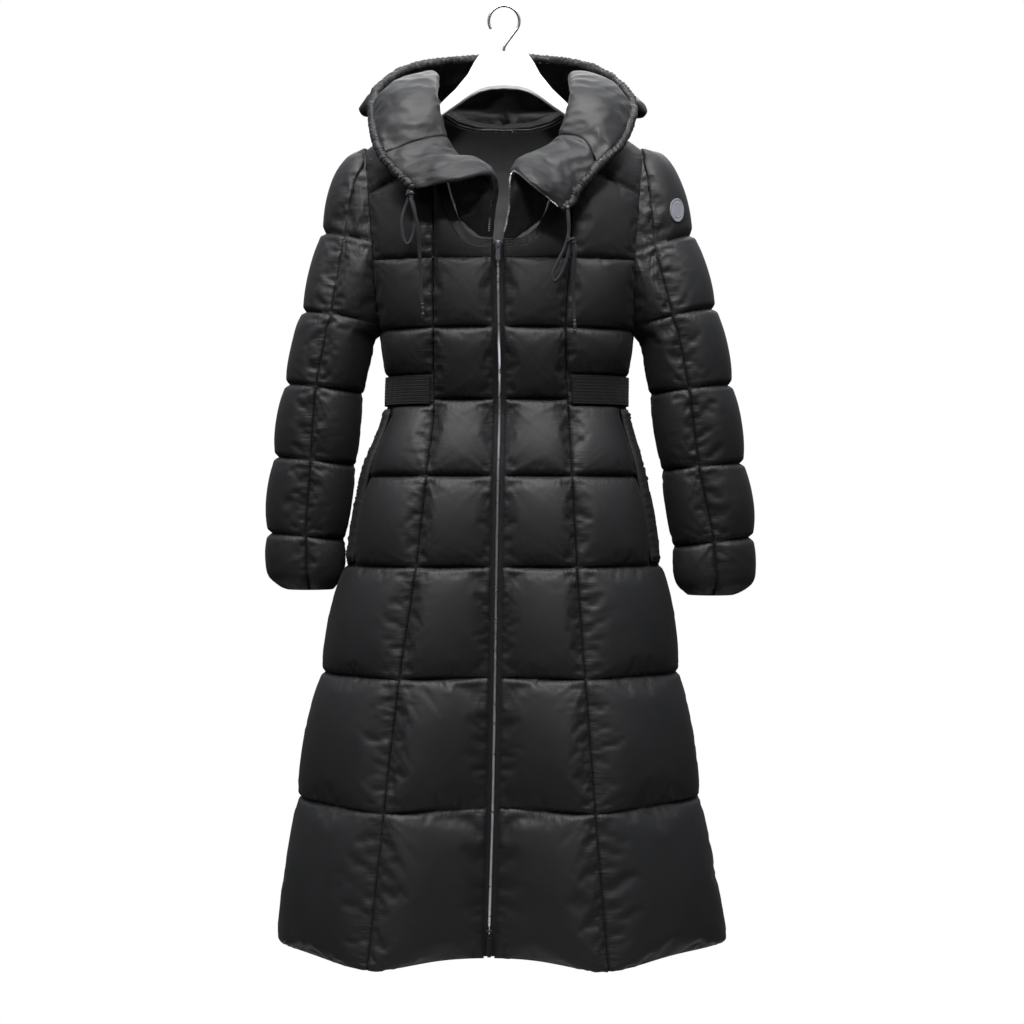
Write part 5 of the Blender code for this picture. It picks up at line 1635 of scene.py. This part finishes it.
# %% Plain finishes of the hard parts
def plain(name, colour, rough, metallic):
    """A smooth finish with a faint, fine change of gloss."""
    made, tree, shader = new_material(name)
    place = add_node(tree, "TexCoord")
    grain = add_node(tree, "TexNoise", Scale=120)
    tree.links.new(place.outputs["Object"], grain.inputs["Vector"])
    span = add_node(tree, "MapRange", To_Min=rough * 0.8, To_Max=rough * 1.25)
    tree.links.new(grain.outputs["Fac"], span.inputs["Value"])
    tree.links.new(span.outputs["Result"], shader.inputs["Roughness"])
    set_inputs(shader, Base_Color=(*colour, 1), Metallic=metallic,
               Specular_IOR_Level=0.25 if rough > 0.6 else 0.5)
    return made


def ribbed(name, colour, rough, across, along, depth):
    """Woven trim with ribs and picks that follow its UV map, with painted shade in the grooves
    between them.
    """
    made, tree, shader = new_material(name)
    link = tree.links.new
    place = add_node(tree, "TexCoord")
    both = add_node(tree, "Math")
    both.operation = "MULTIPLY"
    for socket, direction, scale in zip(both.inputs, "XY", (along, across)):
        wave = add_node(tree, "TexWave", Scale=scale, Distortion=0.3)
        wave.bands_direction = direction
        link(place.outputs["UV"], wave.inputs["Vector"])
        link(wave.outputs["Fac"], socket)
    bump = add_node(tree, "Bump", Strength=depth, Distance=0.5 * MM)
    link(both.outputs["Value"], bump.inputs["Height"])
    link(bump.outputs["Normal"], shader.inputs["Normal"])
    # Painted shade: the colour follows the ribs' height, darker in the grooves and lighter on the
    # ribs' tops.
    ramp = add_node(tree, "ValToRGB")
    for stop, share in zip(ramp.color_ramp.elements, (0.55, 1.3)):
        stop.color = (*(c * share for c in colour), 1)
    link(both.outputs["Value"], ramp.inputs["Fac"])
    link(ramp.outputs["Color"], shader.inputs["Base Color"])
    set_inputs(shader, Roughness=rough, Sheen_Weight=0.05, Specular_IOR_Level=0.3)
    return made


FINISHES = {
    "nylon": shell_nylon,
    "woven": plain("trim_woven", (0.007, 0.007, 0.008), 0.8, 0),
    "elastic": ribbed("elastic_woven", (0.007, 0.007, 0.008), 0.75, 4.5, 260, 0.6),
    "braid": ribbed("cord_braid", (0.035, 0.036, 0.04), 0.7, 6, 110, 0.8),
    "silver": plain("zip_silver", (0.5, 0.5, 0.52), 0.28, 1),
    "gunmetal": plain("slider_gunmetal", (0.11, 0.11, 0.12), 0.35, 1),
    "plastic": plain("hanger_plastic", (0.82, 0.82, 0.8), 0.22, 0),
    "felt": plain("patch_felt", (0.2, 0.205, 0.23), 0.85, 0),
}
KINDS = (("teeth", "silver"), ("chain", "silver"), ("eyelet", "silver"), ("tip", "silver"),
         ("hook", "silver"), ("slider", "gunmetal"), ("pull", "gunmetal"),
         ("hanger_body", "plastic"), ("patch", "felt"), ("welt", "nylon"),
         ("elastic", "elastic"), ("cord_", "braid"), ("knot", "braid"))


def finish_of(name):
    """The finish that a part's name asks for."""
    return FINISHES[next((kind for word, kind in KINDS if word in name), "woven")]


trims = [thing for things in SLOTS.values() for thing in things]
for thing in [*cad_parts.values(), *trims]:
    thing.data.materials.clear()
    thing.data.materials.append(finish_of(thing.name))
